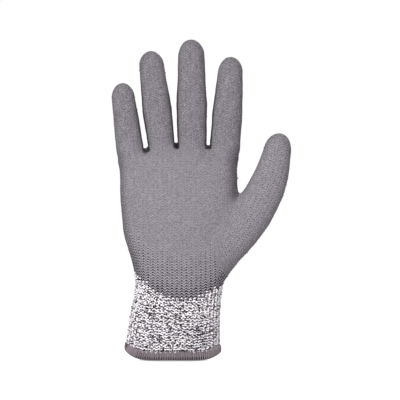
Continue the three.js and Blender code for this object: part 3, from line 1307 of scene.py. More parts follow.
@dataclass(frozen=True)
class FilmFinish(Finish):
    """The matt dipped film, with the stitches showing through as bumps, painted shade in their pits and
    valleys and painted highlights on their ridges.
    """

    # The colour of the painted shade in the pits and valleys between the stitches.
    dark: tuple[float, float, float] = (0.014, 0.010, 0.014)
    drift: float = 1.3 * MM
    clouds: tuple[float, float] = (0.93, 1.06)
    grains: tuple[tuple[float, float], ...] = ((0.36, 0.74), (0.64, 1.24))
    patches: tuple[tuple[float, float], ...] = ((0.34, 0.7), (0.55, 1.0))
    # How much the ridges of the stitches are lightened, a painted highlight.
    lift: float = 1.05
    # How dark the valleys between the courses are painted, as shade.
    valley_shade: float = 0.7
    darkest: float = 0.985
    depth: float = 0.25 * MM

    def make(self, effects: Effects) -> bpy.types.Material:
        """Makes the material.

        Args:
            effects: the shared shader groups.

        Returns:
            The material.
        """
        material, s, shader = self.start()
        show = s.read("show").outputs["Fac"]
        rest = s.read("rest").outputs["Vector"]
        sway = s.texture("Noise", rest, Scale=230)
        cloud = s.texture("Noise", rest, Scale=45, Detail=3).outputs[0]
        grain = s.texture("Noise", rest, Scale=900, Detail=4).outputs[0]
        weave = self.swayed(s, sway.outputs["Color"])
        limit = s.math("MULTIPLY_ADD", show, -1.75, 1.95)
        loops = s.add("ShaderNodeGroup", weave, KNIT.wale, KNIT.course, limit, node_tree=effects.loops)
        fine = s.add("ShaderNodeGroup", weave, KNIT.wale / 2, KNIT.course, 1.5, node_tree=effects.loops)
        ridge, hole = loops.outputs
        base = s.mix(cloud, *((*(channel * tone for channel in self.color), 1) for tone in self.clouds))
        base = s.vector("MULTIPLY", base, s.ramp(grain, self.grains))
        base = s.scaled(base, s.read("tone").outputs["Fac"])
        # Painted highlight on the ridges of the stitches where they show.
        base = s.scaled(base, s.math("MULTIPLY_ADD", s.math("MULTIPLY", ridge, show), self.lift, 1.0))
        # Painted shade in the pits between the stitches, in finer pits and in the valleys between the courses.
        strong = s.math("MULTIPLY_ADD", show, 0.96, 0.04)
        holes = s.math("MULTIPLY", s.math("MULTIPLY", hole, strong), s.ramp(sway.outputs[0], self.patches))
        dots = s.math("MULTIPLY", fine.outputs[1], s.math("MULTIPLY_ADD", show, 0.3, 0.10))
        valley_shade = s.math("POWER", s.math("SUBTRACT", 1.0, ridge), 2.0)
        valley_shade = s.math("MULTIPLY", valley_shade, s.math("MULTIPLY", show, self.valley_shade))
        mask = s.math("MINIMUM", s.math("ADD", s.math("ADD", holes, dots), valley_shade), self.darkest)
        s.feed(shader.inputs["Base Color"], s.mix(mask, base, (*self.dark, 1)))
        s.feed(shader.inputs["Roughness"], s.math("MULTIPLY_ADD", grain, 0.16, self.roughness - 0.08))
        height = s.math("MULTIPLY", ridge, s.math("MULTIPLY", show, 2.0))
        height = s.math("MULTIPLY_ADD", fine.outputs[0], 0.25, height)
        self.bump(s, shader, s.math("MULTIPLY_ADD", grain, 0.25, height), self.depth)
        return material

    def swayed(self, s: Shade, noise: bpy.types.NodeSocket) -> bpy.types.NodeSocket:
        """The place in the knit, moved a little so that no two stitches look the same."""
        centred = s.vector("SUBTRACT", noise, (0.5, 0.5, 0.5))
        weave = s.read("weave").outputs["Vector"]
        return s.vector("MULTIPLY_ADD", centred, (self.drift, self.drift, 0.0), weave)


@dataclass(frozen=True)
class YarnFinish(Finish):
    """Salt and pepper yarn: short white, grey and dark lengths."""

    length: float = 1.45 * MM
    flecks: tuple[tuple[float, float], ...] = ((0.225, 0.010), (0.25, 0.04), (0.275, 0.6), (0.29, 1.0))
    dust: tuple[float, float, float] = (0.08, 0.075, 0.08)
    shaded: tuple[float, float, float] = (0.014, 0.010, 0.014)

    def make(self, effects: Effects) -> bpy.types.Material:
        """Makes the material.

        Args:
            effects: the shared shader groups.

        Returns:
            The material, in which the sunk legs of each loop are painted dark as shade.
        """
        material, s, shader = self.start()
        rest = s.read("rest").outputs["Vector"]
        fleck = s.read("fleck").outputs["Fac"]
        flat = s.vector("MULTIPLY", rest, (1.0, 1.0, 2.0))
        cells = s.add("ShaderNodeGroup", flat, self.length, node_tree=effects.fleck).outputs[0]
        share = s.math("MULTIPLY_ADD", fleck, 0.12, s.math("MULTIPLY", cells, 0.88))
        base = s.vector("MULTIPLY", s.ramp(share, self.flecks), self.color)
        fibres = s.texture("Noise", rest, Scale=2600).outputs[0]
        base = s.mix(s.math("MULTIPLY", fibres, 0.06), base, (*self.dust, 1))
        # Painted shade on the sunk legs of each loop, varying at random from loop to loop.
        sunk = s.math("MULTIPLY", s.read("sunk").outputs["Fac"], s.math("MULTIPLY_ADD", fleck, -0.3, 1.0))
        s.feed(shader.inputs["Base Color"], s.mix(sunk, base, (*self.shaded, 1)))
        shader.inputs["Sheen Weight"].default_value = 0.15
        self.bump(s, shader, fibres, 0.12 * MM)
        return material


@dataclass(frozen=True)
class ShadeBackingFinish(Finish):
    """The ground between the loops and the inside of the liner: near black as painted shade, lighter on the
    courses' ridges in random patches as a painted highlight.
    """

    tones: tuple[float, float] = (0.5, 2.2)
    length: float = 1.2 * MM

    def make(self, effects: Effects) -> bpy.types.Material:
        """Makes the material.

        Args:
            effects: the shared shader groups.

        Returns:
            The material.
        """
        material, s, shader = self.start()
        weave, rest = s.read("weave").outputs["Vector"], s.read("rest").outputs["Vector"]
        ridge = s.add("ShaderNodeGroup", weave, KNIT.wale, KNIT.course, node_tree=effects.loops).outputs[0]
        cells = s.add("ShaderNodeGroup", rest, self.length, node_tree=effects.fleck).outputs[0]
        low, high = ((*(channel * tone for channel in self.color), 1) for tone in self.tones)
        # Painted shade, lighter as a painted highlight where a course's ridge meets a light random patch.
        s.feed(shader.inputs["Base Color"], s.mix(s.math("MULTIPLY", ridge, cells), low, high))
        self.bump(s, shader, ridge, 0.3 * MM)
        return material


@dataclass(frozen=True)
class ThreadFinish(Finish):
    """Twisted sewing or covered thread."""

    contrast: float = 0.35
    fibres: tuple[tuple[float, float], ...] = ((0.3, 0.75), (0.7, 1.2))

    def make(self) -> bpy.types.Material:
        """Makes the material.

        Returns:
            The material, in which each turn of thread is a little lighter or darker than the next.
        """
        material, s, shader = self.start()
        fibres = s.texture("Noise", s.read("rest").outputs["Vector"], Scale=1900, Detail=3).outputs[0]
        tone = s.math("MULTIPLY_ADD", s.read("fleck").outputs["Fac"], self.contrast, 1.0 - self.contrast / 2)
        base = s.vector("MULTIPLY", s.ramp(fibres, self.fibres), self.color)
        s.feed(shader.inputs["Base Color"], s.scaled(base, tone))
        shader.inputs["Sheen Weight"].default_value = 0.1
        self.bump(s, shader, fibres, 0.1 * MM)
        return material


@dataclass(frozen=True)
class Yarn:
    """A bent length of yarn, the piece that each stitch repeats."""

    name: str
    radius: float
    sides: int = 5

    def section(self) -> Array:
        """The round section."""
        turn = np.arange(self.sides) * 2 * math.pi / self.sides
        return self.radius * np.stack([np.cos(turn), np.sin(turn)], axis=1)

    def along(self, path: Array, level: tuple[float, ...], closed: bool) -> bpy.types.Object:
        """A tube along a path.

        Args:
            path: the points that the yarn follows.
            level: a direction that the path never runs along.
            closed: whether the path's end meets its start.

        Returns:
            The yarn, hidden from view.
        """
        points, faces = Mesher.sweep(path, np.array(level), self.section(), closed)
        thing = Mesher.item(self.name, Mesher.mesh(self.name, points, faces))
        thing.hide_render = True
        return thing

    def knit_loop(self, steps: int = 10) -> bpy.types.Object:
        """One loop of the purl side: its head and feet stand in front, its legs lie behind.

        Args:
            steps: how many straight pieces make it.

        Returns:
            The loop, whose sunk attribute is 1 on its legs, where the yarn's material paints shade.
        """
        overlap, swell, tall, wave, behind = 1.04, 0.09, 0.76, 0.34 * MM, 0.15 * MM
        turn = np.linspace(-overlap * math.pi, overlap * math.pi, steps + 1)
        x = KNIT.wale * (turn / (2 * math.pi) + swell * np.sin(2 * turn))
        y = tall * KNIT.course * np.cos(turn)
        z = wave * np.cos(2 * turn) - behind
        loop = self.along(np.stack([x, y, z], axis=1), (0.0, 0.0, 1.0), closed=False)
        sunk = np.repeat(0.5 - 0.5 * np.cos(2 * turn), self.sides)
        Mesher.floats(loop.data, "sunk", sunk)
        return loop

    def edge_wrap(self, tall: float, thick: float, slant: float, steps: int = 14) -> bpy.types.Object:
        """One thread wrapped over the cuff's edge, round the front, under and up the inside.

        Args:
            tall: the wrap's height.
            thick: its depth.
            slant: how far its top leans to one side.
            steps: how many straight pieces make it.

        Returns:
            The closed wrap.
        """
        turn = np.arange(steps) * 2 * math.pi / steps
        sine, cosine = np.sin(turn), np.cos(turn)
        squared = 0.75
        y = tall / 2 * (1 + np.sign(sine) * np.abs(sine) ** squared)
        z = thick / 2 * np.sign(cosine) * np.abs(cosine) ** squared
        x = slant * sine
        return self.along(np.stack([x, y, z], axis=1), (1.0, 0.0, 0.0), closed=True)


class Repeater:
    """Lays copies of a piece on listed places, and dresses them."""

    def __init__(self) -> None:
        """Builds the node tree once."""
        self.tree = bpy.data.node_groups.new("Lay copies", "GeometryNodeTree")
        face = self.tree.interface
        for title, kind in (
            ("Places", "Geometry"),
            ("Piece", "Object"),
            ("Finish", "Material"),
            ("Size", "Float"),
            ("Tilt", "Float"),
            ("Seed", "Int"),
        ):
            face.new_socket(title, in_out="INPUT", socket_type=f"NodeSocket{kind}")
        face.new_socket("Copies", in_out="OUTPUT", socket_type="NodeSocketGeometry")
        s = Shade(self.tree)
        start = s.add("NodeGroupInput").outputs
        turn = s.add("GeometryNodeInputNamedAttribute", "turn", data_type="FLOAT_VECTOR")
        stretch = s.add("GeometryNodeInputNamedAttribute", "stretch", data_type="FLOAT_VECTOR")
        info = s.add("GeometryNodeObjectInfo", start["Piece"])
        laid = s.add("GeometryNodeInstanceOnPoints", start["Places"])
        s.feed(laid.inputs["Instance"], info.outputs["Geometry"])
        s.feed(laid.inputs["Rotation"], s.add("FunctionNodeEulerToRotation", turn.outputs[0]).outputs[0])
        s.feed(laid.inputs["Scale"], s.scaled(stretch.outputs[0], start["Size"]))
        wobble = s.add("FunctionNodeRandomValue", data_type="FLOAT_VECTOR")
        s.feed(wobble.inputs["Seed"], start["Seed"])
        s.feed(wobble.inputs["Min"], s.scaled((-1.0, -1.0, -1.0), start["Tilt"]))
        s.feed(wobble.inputs["Max"], s.scaled((1.0, 1.0, 1.0), start["Tilt"]))
        tilted = s.add("GeometryNodeRotateInstances", laid.outputs[0])
        s.feed(tilted.inputs["Rotation"], s.add("FunctionNodeEulerToRotation", wobble.outputs[0]).outputs[0])
        share = s.add("FunctionNodeRandomValue", data_type="FLOAT")
        s.feed(share.inputs["Seed"], start["Seed"])
        fleck = self.store(s, tilted, "fleck", share.outputs[1], "FLOAT", "INSTANCE")
        real = s.add("GeometryNodeRealizeInstances", fleck.outputs[0])
        place = s.add("GeometryNodeInputPosition").outputs[0]
        rest = self.store(s, real, "rest", place, "FLOAT_VECTOR", "POINT")
        smooth = s.add("GeometryNodeSetShadeSmooth", rest.outputs[0])
        dressed = s.add("GeometryNodeSetMaterial", smooth.outputs[0])
        s.feed(dressed.inputs["Material"], start["Finish"])
        s.feed(s.add("NodeGroupOutput").inputs[0], dressed.outputs[0])

    @staticmethod
    def store(
        s: Shade, before: bpy.types.Node, name: str, value: bpy.types.NodeSocket, kind: str, domain: str
    ) -> bpy.types.Node:
        """Adds a node that stores an attribute.

        Args:
            s: what lays the tree's nodes.
            before: the node whose geometry carries the attribute.
            name: the attribute's name.
            value: its value.
            kind: its type.
            domain: what each value belongs to.

        Returns:
            The node.
        """
        node = s.add("GeometryNodeStoreNamedAttribute", before.outputs[0], data_type=kind, domain=domain)
        node.inputs["Name"].default_value = name
        s.feed(node.inputs["Value"], value)
        return node

    def lay(
        self, name: str, places: "Places", piece: bpy.types.Object, finish: bpy.types.Material, tilt: float
    ) -> bpy.types.Mesh:
        """Lays the copies.

        Args:
            name: the new mesh's name.
            places: where each copy goes.
            piece: what is copied.
            finish: the copies' material.
            tilt: how far each may be turned at random, in radians.

        Returns:
            All the copies as one plain mesh.
        """
        mesh = Mesher.mesh(name, places.points, [])
        Mesher.vectors(mesh, "turn", places.turns())
        Mesher.vectors(mesh, "stretch", places.stretch)
        thing = Mesher.item(name, mesh)
        modifier = thing.modifiers.new("copies", "NODES")
        modifier.node_group = self.tree
        values = {"Piece": piece, "Finish": finish, "Size": 1.0, "Tilt": tilt, "Seed": SEED}
        for item in self.tree.interface.items_tree:
            if item.in_out == "INPUT" and item.name in values:
                modifier[item.identifier] = values[item.name]
        thing.update_tag()
        evaluated = thing.evaluated_get(bpy.context.evaluated_depsgraph_get())
        made = bpy.data.meshes.new_from_object(evaluated)
        made.name = name
        bpy.data.objects.remove(thing)
        bpy.data.meshes.remove(mesh)
        return made


@dataclass
class Places:
    """Where copies of a stitch go: points, the way along each, the way out of the cloth and the stretch."""

    points: Array
    along: Array
    out: Array
    stretch: Array

    def turns(self) -> Array:
        """Each place's turn.

        Returns:
            Euler angles, which lay a copy's Y along the wales and its Z out of the cloth.
        """
        out = self.out / np.linalg.norm(self.out, axis=1)[:, None]
        across = np.cross(self.along, out)
        across /= np.linalg.norm(across, axis=1)[:, None]
        along = np.cross(out, across)
        pitch = -np.arcsin(np.clip(across[:, 2], -1, 1))
        roll = np.arctan2(along[:, 2], out[:, 2])
        yaw = np.arctan2(across[:, 1], across[:, 0])
        return np.stack([roll, pitch, yaw], axis=1)

    def only(self, keep: Array) -> "Places":
        """The places where keep is true."""
        return Places(self.points[keep], self.along[keep], self.out[keep], self.stretch[keep])


@dataclass
class Film:
    """The dipped film on the palm side, one skin for each bending length."""

    form: Form
    zones: Zones
    size: float = 0.6 * MM
    rim: float = 0.9 * MM
    courses: float = 0.13 * MM
    dimples: tuple[tuple[float, float], ...] = ((-20.6, 164.0), (3.1, 168.0), (27.6, 167.4))
    dimple_deep: float = 1.3 * MM
    dimple_wide: float = 1.7 * MM
    # How dark the hollows between the fingers are painted, as shade.
    dimple_shade: float = 0.9

    def thickness(self, inside: Array) -> Array:
        """How far the film stands out: it sinks between the stitches towards its edge."""
        return DIP.proud - (DIP.proud + DIP.sunk) * (1 - smoothstep(-self.rim, self.rim, inside))

    def relief(self, points: Array, levels: Array, show: Array) -> Array:
        """The courses of the liner showing through, and a little unevenness.

        Args:
            points: where to measure.
            levels: each point's distance from every tube.
            show: how strongly the stitches show at each point.

        Returns:
            How far each point lies out of the even surface.
        """
        near = np.exp(-(levels - levels.min(axis=1)[:, None]) / (1.2 * MM))
        near /= near.sum(axis=1)[:, None]
        height = np.zeros(len(points))
        for index in range(levels.shape[1]):
            mine = near[:, index] > 0.01
            u, v, _ = self.form.weave(points[mine], np.full(mine.sum(), index)).T
            wave = np.cos(2 * math.pi * u / KNIT.wale)
            ridge = np.cos(2 * math.pi * (v / KNIT.course - KNIT.lean * wave))
            height[mine] += near[mine, index] * ridge
        height *= self.courses * show
        x, y, z = points.T
        height += 0.16 * MM * np.sin(210 * x + 95 * z + 0.7) * np.sin(160 * z - 120 * x + 300 * y)
        height += 0.10 * MM * np.sin(430 * z + 260 * x + 2.1) * np.sin(390 * x - 170 * z + 500 * y)
        return height - self.dimple_deep * self.dimple(points)

    def dimple(self, points: Array) -> Array:
        """The small hollows under the gaps between the fingers.

        Args:
            points: where to measure.

        Returns:
            1 in each hollow, falling to 0 round it.
        """
        x, y, z = points.T
        deep = np.zeros(len(points))
        for place_x, place_z in self.dimples:
            gap = np.hypot(x - place_x * MM, (z - place_z * MM) * 0.75)
            deep += np.exp(-((gap / self.dimple_wide) ** 2)) * (y < 2 * MM)
        return deep

    def build(self, finish: bpy.types.Material) -> list[bpy.types.Object]:
        """Builds the skins.

        Args:
            finish: the film's material.

        Returns:
            The skins, one for each bending length.
        """
        net = Surface.over(self.form, self.size)
        levels = self.form.levels(net.points)
        home = levels.argmin(axis=1)
        weave = self.form.weave(net.points, home)
        inside = DIP.cover(self.form, net.points, weave)
        show = DIP.show(self.form, net.points, home)
        second = np.partition(levels, 1, axis=1)
        clear = smoothstep(0.3 * MM, 2.5 * MM, second[:, 1] - second[:, 0])
        outward = self.thickness(inside) + self.relief(net.points, levels, show)
        points = net.points + outward[:, None] * net.out
        normals = Mesher.normals(points, net.quads)
        kept = net.quads[inside[net.quads].max(axis=1) > -self.rim]
        label = self.zones.labels(net.points[kept].mean(axis=1))
        # The film's lightness, with painted shade between and beside the fingers.
        tone = self.tone(net.points, home)
        values = {"rest": net.points, "weave": weave, "show": show * clear, "tone": tone}
        skins = []
        for index, zone in enumerate(self.zones.zones):
            skin = Mesher.part(f"{zone.name}_skin", points, kept[label == index], normals, values)
            skin.data.materials.append(finish)
            zone.bend(skin)
            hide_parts(f"{zone.name}_film")
            skins.append(skin)
        return skins

    def tone(self, points: Array, home: Array) -> Array:
        """How light the film is, with painted shade in it.

        Args:
            points: where to measure.
            home: each point's tube, a value of Home.

        Returns:
            1 on the palm, less on the fingers and towards the wrist, with faint streaks and speckle along the
            fingers;
            painted shade lowers it below the index finger, along the palm's edge on the little finger's side,
            in the hollows between the fingers and on the sides of the fingers that face each other.
        """
        x, _, z = points.T
        thumb = home == Home.THUMB.value
        fingers = np.where(thumb, 0.04, 0.18) * smoothstep(148 * MM, 182 * MM, z)
        low = 0.05 * (1 - smoothstep(56 * MM, 96 * MM, z))
        streak = 0.05 * np.sin(1450 * x + 60 * z) * np.sin(310 * z + 900 * x + 1.3)
        streak = streak + np.random.default_rng(SEED).normal(0.0, 0.14, len(x))
        streak = streak * smoothstep(150 * MM, 185 * MM, z)
        # Painted shade on the palm's edge below the index finger, where it turns away from the light.
        right = 0.42 * smoothstep(39 * MM, 49 * MM, x) * smoothstep(119 * MM, 130 * MM, z)
        right = right * (1 - smoothstep(156 * MM, 170 * MM, z)) * ~thumb
        centre, wide, _ = self.form.trunk.sizes(z)
        # Painted shade along the palm's edge on the little finger's side.
        left = 0.28 * smoothstep(0.86, 1.0, (centre - x) / wide) * (1 - smoothstep(158 * MM, 166 * MM, z))
        # Painted shade in the hollows under the gaps between the fingers.
        painted_hollow_shade = 1.0 - self.dimple_shade * self.dimple(points)
        return (1.0 - fingers - low - right - left + streak) * painted_hollow_shade * self.slot_shade(points)

    def slot_shade(self, points: Array) -> Array:
        """How light the sides of the fingers that face each other are, with painted shade on them.

        Args:
            points: where to measure.

        Returns:
            1, falling towards 0 on those sides near the fingers' roots, where shade is painted.
        """
        # How much painted shade falls on the left and right side of each finger.
        left_shade, right_shade = 0.85, 0.6
        last = len(self.form.stalls) - 1
        light = np.ones(len(points))
        for index, stall in enumerate(self.form.stalls):
            across, along, _ = stall.local(points)
            wide, _ = stall.sizes(along)
            near = (along > -4 * MM) * (1 - smoothstep(28 * MM, 60 * MM, along))
            for sign, dark in ((-1, left_shade * (index > 0)), (1, right_shade * (index < last))):
                edge = smoothstep(0.83, 0.98, sign * across / wide) * (sign * across < wide + 1.5 * MM)
                light = np.minimum(light, 1.0 - dark * edge * near)
        return light


@dataclass
class Liner:
    """The knitted liner: rows of loops over a thin sheet, near black as painted shade."""

    form: Form
    zones: Zones
    first_row: float = 8.6 * MM
    wales: dict[str, int] = field(default_factory=lambda: {"trunk": 53, "finger": 18, "thumb": 23})
    outer: float = -0.9 * MM
    thickness: float = 0.5 * MM
    split: float = 74 * MM
    backing_size: float = 1.3 * MM
    backing_start: float = 2.0 * MM
    lift: float = 0.05 * MM
    gap: float = 0.2 * MM
    uneven: tuple[float, float, float] = (0.07, 0.20, 0.14)
    astray: float = 0.11 * MM
    tilt: float = 0.16

    def circles(self) -> list[tuple[Home, Array]]:
        """Lists the knitted rows of every tube.

        Returns:
            Each tube, with the evenly spaced points round each of its rows.
        """
        form = self.form
        tubes = [(Home.TRUNK, form.trunk, "trunk", self.first_row, 168 * MM)]
        for index, stall in enumerate(form.stalls):
            tubes.append((Home(1 + index), stall, "finger", -12 * MM, stall.dome + 3 * MM))
        tubes.append((Home.THUMB, form.thumb, "thumb", 0.0, form.thumb.length - 9 * MM))
        return [
            (home, np.array([tube.ring(row, self.wales[kind]) for row in np.arange(start, end, KNIT.course)]))
            for home, tube, kind, start, end in tubes
        ]

    def lattice(self) -> Places:
        """Lays out the stitches of the liner that the film leaves open.

        Returns:
            Their places, each a little uneven.
        """
        found = []
        chance = np.random.default_rng(SEED)
        for tube, grid in self.circles():
            around = np.roll(grid, -1, axis=1) - np.roll(grid, 1, axis=1)
            points, out = self.form.project(grid.reshape(-1, 3), rounds=3)
            around = around.reshape(-1, 3)
            spread = np.linalg.norm(around, axis=1) / 2
            uneven = chance.normal(1.0, self.uneven, (len(points), 3))
            same = np.ones(len(points))
            stretch = np.stack([spread / KNIT.wale, same, same], axis=1) * uneven
            along = np.cross(out, around)
            points = points + chance.normal(0.0, self.astray, (len(points), 3))
            home = self.form.levels(points).argmin(axis=1)
            weave = self.form.weave(points, home)
            open_here = DIP.cover(self.form, points, weave) < -self.gap
            found.append(Places(points, along, out, stretch).only((home == tube.value) & open_here))
        names = ("points", "along", "out", "stretch")
        return Places(*(np.concatenate([getattr(part, name) for part in found]) for name in names))

    def build(self, yarn: bpy.types.Material, backing: bpy.types.Material, repeater: Repeater) -> int:
        """Builds the loops and the sheet under them, whose near black colour is painted shade.

        Args:
            yarn: the loops' material.
            backing: the material of the sheet under the loops, near black as painted shade.
            repeater: what lays the loops.

        Returns:
            How many loops there are.
        """
        places = self.lattice()
        places.points = places.points + self.lift * places.out
        loop = Yarn("knit_loop", KNIT.yarn).knit_loop()
        labels = self.zones.labels(places.points)
        for index, zone in enumerate(self.zones.zones):
            mine = labels == index
            if index == 0:
                low = places.points[:, 2] < self.split
                self.loops("cuff_loops", places.only(mine & low), loop, yarn, repeater, zone)
                self.loops("hand_loops", places.only(mine & ~low), loop, yarn, repeater, None)
            else:
                self.loops(f"{zone.name}_loops", places.only(mine), loop, yarn, repeater, zone)
        bpy.data.objects.remove(loop)
        self.backing(backing)
        return len(places.points)

    def loops(
        self,
        name: str,
        places: Places,
        loop: bpy.types.Object,
        yarn: bpy.types.Material,
        repeater: Repeater,
        zone: Zone | None,
    ) -> None:
        """Lays one length's loops.

        Args:
            name: the piece's name.
            places: where its loops go.
            loop: the loop that is copied.
            yarn: its material.
            repeater: what lays the copies.
            zone: the length that it belongs to, or None where it rides on the palm.
        """
        thing = Mesher.item(name, repeater.lay(name, places, loop, yarn, self.tilt))
        if zone:
            zone.bend(thing)
        else:
            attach(thing, "palm")

    def backing(self, finish: bpy.types.Material) -> None:
        """Builds the thin sheet under the loops, open at the wrist, whose near black colour is painted shade.

        Args:
            finish: its material.
        """
        net = Surface.over(self.form, self.backing_size, self.outer)
        count = len(net.points)
        home = self.form.levels(net.points).argmin(axis=1)
        weave = self.form.weave(net.points, home)
        points = np.concatenate([net.points, net.points - self.thickness * net.out])
        rows = KNIT.row(net.points[:, 0], net.points[:, 2])
        kept = net.quads[rows[net.quads].min(axis=1) > self.backing_start]
        edges = np.concatenate([kept[:, (0, 1)], kept[:, (1, 2)], kept[:, (2, 3)], kept[:, (3, 0)]])
        keys = edges.min(axis=1) * count + edges.max(axis=1)
        _, place, times = np.unique(keys, return_index=True, return_counts=True)
        rim = edges[place[times == 1]]
        rim = np.stack([rim[:, 1], rim[:, 0], rim[:, 0] + count, rim[:, 1] + count], axis=1)
        label = self.zones.labels(net.points[kept].mean(axis=1))
        normals = np.concatenate([net.out, -net.out])
        values = {"rest": points, "weave": np.concatenate([weave, weave])}
        for index, zone in enumerate(self.zones.zones):
            mine = kept[label == index]
            quads = np.concatenate([mine, mine[:, ::-1] + count] + ([rim] if index == 0 else []))
            shell = Mesher.part(f"{zone.name}_backing", points, quads, normals, values)
            shell.data.materials.append(finish)
            zone.bend(shell)
            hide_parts(f"{zone.name}_knit", *(["cuff_knit"] if index == 0 else []))


@dataclass
class Hem:
    """The overlocked edge of the cuff."""

    form: Form
    tall: float = 7.2 * MM
    thick: float = 3.6 * MM
    pitch: float = 1.86 * MM
    thread: float = 0.43 * MM
    notch: float = 2.6 * MM
    notch_fade: float = 0.75
    notch_band: tuple[float, float] = (24 * MM, 33 * MM)
    row: float = 0.8 * MM
    inset: float = 0.55 * MM
    pairing: float = 0.06 * MM
    slant: float = 0.16 * MM
    tilt: float = 0.025
    tie_depth: float = 0.10
    core_half: tuple[float, float] = (1.3 * MM, 3.1 * MM)
    core_middle: float = 3.5 * MM

    def build(
        self, finish: bpy.types.Material, shaded_tie: bpy.types.Material, core: bpy.types.Material, repeater: Repeater
    ) -> int:
        """Builds the long wraps, the shorter ties between them and what they wrap.

        Args:
            finish: the long wraps' material.
            shaded_tie: the ties' material, darker than the long wraps' as painted shade.
            core: the material between the threads, near black as painted shade.
            repeater: what lays the wraps.

        Returns:
            How many wraps there are.
        """
        dense = self.form.trunk.ring(self.row, 720)
        length = np.linalg.norm(np.roll(dense, -1, axis=0) - dense, axis=1).sum()
        count = round(length / self.pitch) * 2
        short = np.arange(count) % 2
        ring = self.form.trunk.ring(self.row, count)
        around = np.roll(ring, -1, axis=0) - np.roll(ring, 1, axis=0)
        around /= np.linalg.norm(around, axis=1)[:, None]
        ring = ring + around * np.where(short, self.pairing, -self.pairing)[:, None]
        _, out = self.form.project(ring)
        points, _ = self.form.project(ring, -self.inset)
        along = np.cross(out, around)
        notch = self.notch * short * (1 - self.notch_fade * smoothstep(*self.notch_band, np.abs(ring[:, 0])))
        points = points + notch[:, None] * np.array([0.0, 0.0, 1.0])
        uneven = 1 + 0.03 * np.sin(np.arange(count) * 2.4) - notch / self.tall
        stretch = np.stack([np.ones(count), uneven, 1 - self.tie_depth * short], axis=1)
        wrap = Yarn("edge_wrap", self.thread, 5).edge_wrap(self.tall - self.thread, self.thick, self.slant)
        places = Places(points, along, out, stretch)
        things = [
            Mesher.item(name, repeater.lay(name, places.only(short == kind), wrap, look, self.tilt))
            for kind, (name, look) in enumerate((("hem_wraps", finish), ("hem_ties", shaded_tie)))
        ]
        bpy.data.objects.remove(wrap)
        things.append(self.core(dense[::3], core))
        for thing in things:
            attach(thing, "cuff")
        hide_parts("cuff_hem")
        return count

    def core(self, path: Array, finish: bpy.types.Material) -> bpy.types.Object:
        """The cuff's folded edge, which the threads wrap.

        Args:
            path: the points round the edge.
            finish: its material.

        Returns:
            The edge.
        """
        turn = np.arange(12) * 2 * math.pi / 12
        wide, tall = self.core_half
        section = np.stack([wide * np.cos(turn) - self.inset, tall * np.sin(turn) + self.core_middle], axis=1)
        return Mesher.ring("hem_core", path, section, finish)


@dataclass
class Elastic:
    """The elastic threads that gather the cuff, inside it."""

    form: Form
    count: int = 4
    first: float = 12 * MM
    spacing: float = 9 * MM
    radius: float = 0.4 * MM
    depth: float = 1.75 * MM

    def build(self, finish: bpy.types.Material) -> None:
        """Builds the threads.

        Args:
            finish: their material.
        """
        for index in range(self.count):
            name = f"elastic_{index + 1}"
            ring = self.form.trunk.ring(self.first + index * self.spacing, 360)
            path, _ = self.form.project(ring, -self.depth)
            thread = Mesher.ring(name, path, Yarn(name, self.radius, 8).section(), finish)
            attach(thread, "cuff")
            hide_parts(f"elastic_thread_{index + 1}")


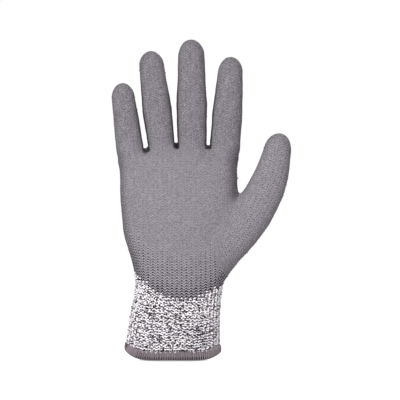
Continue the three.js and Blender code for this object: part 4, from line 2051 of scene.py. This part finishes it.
@dataclass
class Studio:
    """The floor, the lights and the camera."""

    view: float = 311.6 * MM
    aim: tuple[float, float, float] = (0.0216, 0.0, 0.1254)
    lens: float = 400.0
    sensor: float = 36.0
    floor_half: float = 4.0
    floor_height: float = 0.1 * MM
    floor_color: tuple[float, float, float] = (0.70, 0.70, 0.705)
    floor_glow: float = 0.82
    surround: tuple[float, float] = (0.78, 0.24)

    def build(self) -> None:
        """Builds the world, the floor, the lights and the camera."""
        self.world()
        self.floor()
        self.light("key", (-0.65, -1.5, 0.9), 0.8, 36.5)
        self.light("back", (0.7, 1.5, 1.0), 0.9, 20.0)
        self.light("fill", (0.6, -1.8, 0.2), 1.0, 16.5)
        self.light("top", (0.0, 0.5, 1.3), 0.9, 3.3)
        self.camera()
        bpy.context.scene.view_settings.view_transform = "Standard"

    def world(self) -> None:
        """A white surround: full white to the camera, a little less as light."""
        world = bpy.data.worlds.new("surround")
        world.use_nodes = True
        bpy.context.scene.world = world
        s = Shade(world.node_tree)
        ground = world.node_tree.nodes["Background"]
        seen = s.add("ShaderNodeLightPath").outputs["Is Camera Ray"]
        s.feed(ground.inputs["Strength"], s.math("MULTIPLY_ADD", seen, *self.surround))
        ground.inputs["Color"].default_value = (1.0, 1.0, 1.0, 1.0)

    def floor(self) -> None:
        """A pale floor, well past every view of it."""
        half, z = self.floor_half, self.floor_height
        corners = np.array([[-half, -half, z], [half, -half, z], [half, half, z], [-half, half, z]])
        floor = Mesher.item("floor", Mesher.mesh("floor", corners, [[0, 1, 2, 3]]))
        material = bpy.data.materials.new("floor")
        material.use_nodes = True
        shader = material.node_tree.nodes["Principled BSDF"]
        shader.inputs["Base Color"].default_value = (*self.floor_color, 1.0)
        shader.inputs["Emission Color"].default_value = (1.0, 1.0, 1.0, 1.0)
        s = Shade(material.node_tree)
        seen = s.add("ShaderNodeLightPath").outputs["Is Camera Ray"]
        s.feed(shader.inputs["Emission Strength"], s.math("MULTIPLY", seen, self.floor_glow))
        shader.inputs["Roughness"].default_value = 1.0
        shader.inputs["Specular IOR Level"].default_value = 0.0
        floor.data.materials.append(material)

    def light(self, name: str, place: tuple[float, float, float], size: float, power: float) -> None:
        """A soft square light turned to the glove.

        Args:
            name: the light's name.
            place: where it is.
            size: the length of its side.
            power: its strength in watts.
        """
        lamp = bpy.data.lights.new(name, "AREA")
        lamp.size = size
        lamp.energy = power
        thing = bpy.data.objects.new(name, lamp)
        thing.location = place
        thing.rotation_euler = (Vector(self.aim) - Vector(place)).to_track_quat("-Z", "Y").to_euler()
        bpy.context.scene.collection.objects.link(thing)

    def camera(self) -> None:
        """The camera, level and straight in front of the palm."""
        lens = bpy.data.cameras.new("camera")
        lens.lens = self.lens
        lens.sensor_width = self.sensor
        camera = bpy.data.objects.new("camera", lens)
        away = self.view * self.lens / self.sensor
        camera.location = Vector(self.aim) - Vector((0.0, away, 0.0))
        camera.rotation_euler = (math.pi / 2, 0.0, 0.0)
        bpy.context.scene.collection.objects.link(camera)
        bpy.context.scene.camera = camera


def stalls() -> list[Stall]:
    """The four finger stalls.

    Returns:
        The stalls, from the little finger's to the index's.
    """
    made = []
    for name, sizes in STALLS.items():
        ends = [Vector((x * MM, 0.0, z * MM)) for x, z in (sizes["root"], sizes["tip"])]
        wide, deep = (tuple(size * MM for size in sizes[key]) for key in ("wide", "deep"))
        made.append(Stall(name, ends[0], ends[1], wide, deep))
    return made


def main() -> None:
    """Builds the glove and its studio."""
    logging.basicConfig(level=logging.INFO, format="%(message)s")
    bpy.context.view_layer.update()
    form = Form(Trunk(), stalls(), Thumb())
    zones = Zones(form, {joint["name"]: joint for joint in frame["joints"]})
    effects = Effects()
    repeater = Repeater()
    film = FilmFinish("film", "film", (0.173, 0.158, 0.177), 0.72).make(effects)
    yarn = YarnFinish("melange yarn", "knit", (1.0, 0.955, 1.0), 0.85).make(effects)
    # The sheet under the loops, near black as painted shade.
    backing = ShadeBackingFinish("backing", "knit", (0.026, 0.020, 0.025), 0.95).make(effects)
    thread = ThreadFinish("hem thread", "hem", (0.230, 0.193, 0.215), 0.8, 0.25).make()
    # The ties, a darker copy of the hem thread as painted shade.
    shaded_tie = ThreadFinish("hem tie", "hem", (0.180, 0.151, 0.168), 0.85, 0.25).make()
    # The hem's folded edge, near black as painted shade in the gaps between the threads.
    under = ThreadFinish("hem ground", "hem", (0.022, 0.016, 0.019), 0.95).make()
    covered = ThreadFinish("covered elastic", "elastic", (0.30, 0.29, 0.30), 0.8).make()
    skins = Film(form, zones).build(film)
    log.info("film: %d skins, %d faces", len(skins), sum(len(skin.data.polygons) for skin in skins))
    log.info("liner: %d loops", Liner(form, zones).build(yarn, backing, repeater))
    log.info("hem: %d wraps", Hem(form).build(thread, shaded_tie, under, repeater))
    Elastic(form).build(covered)
    log.info("elastic threads: laid")
    Studio().build()


if __name__ == "__main__":
    main()
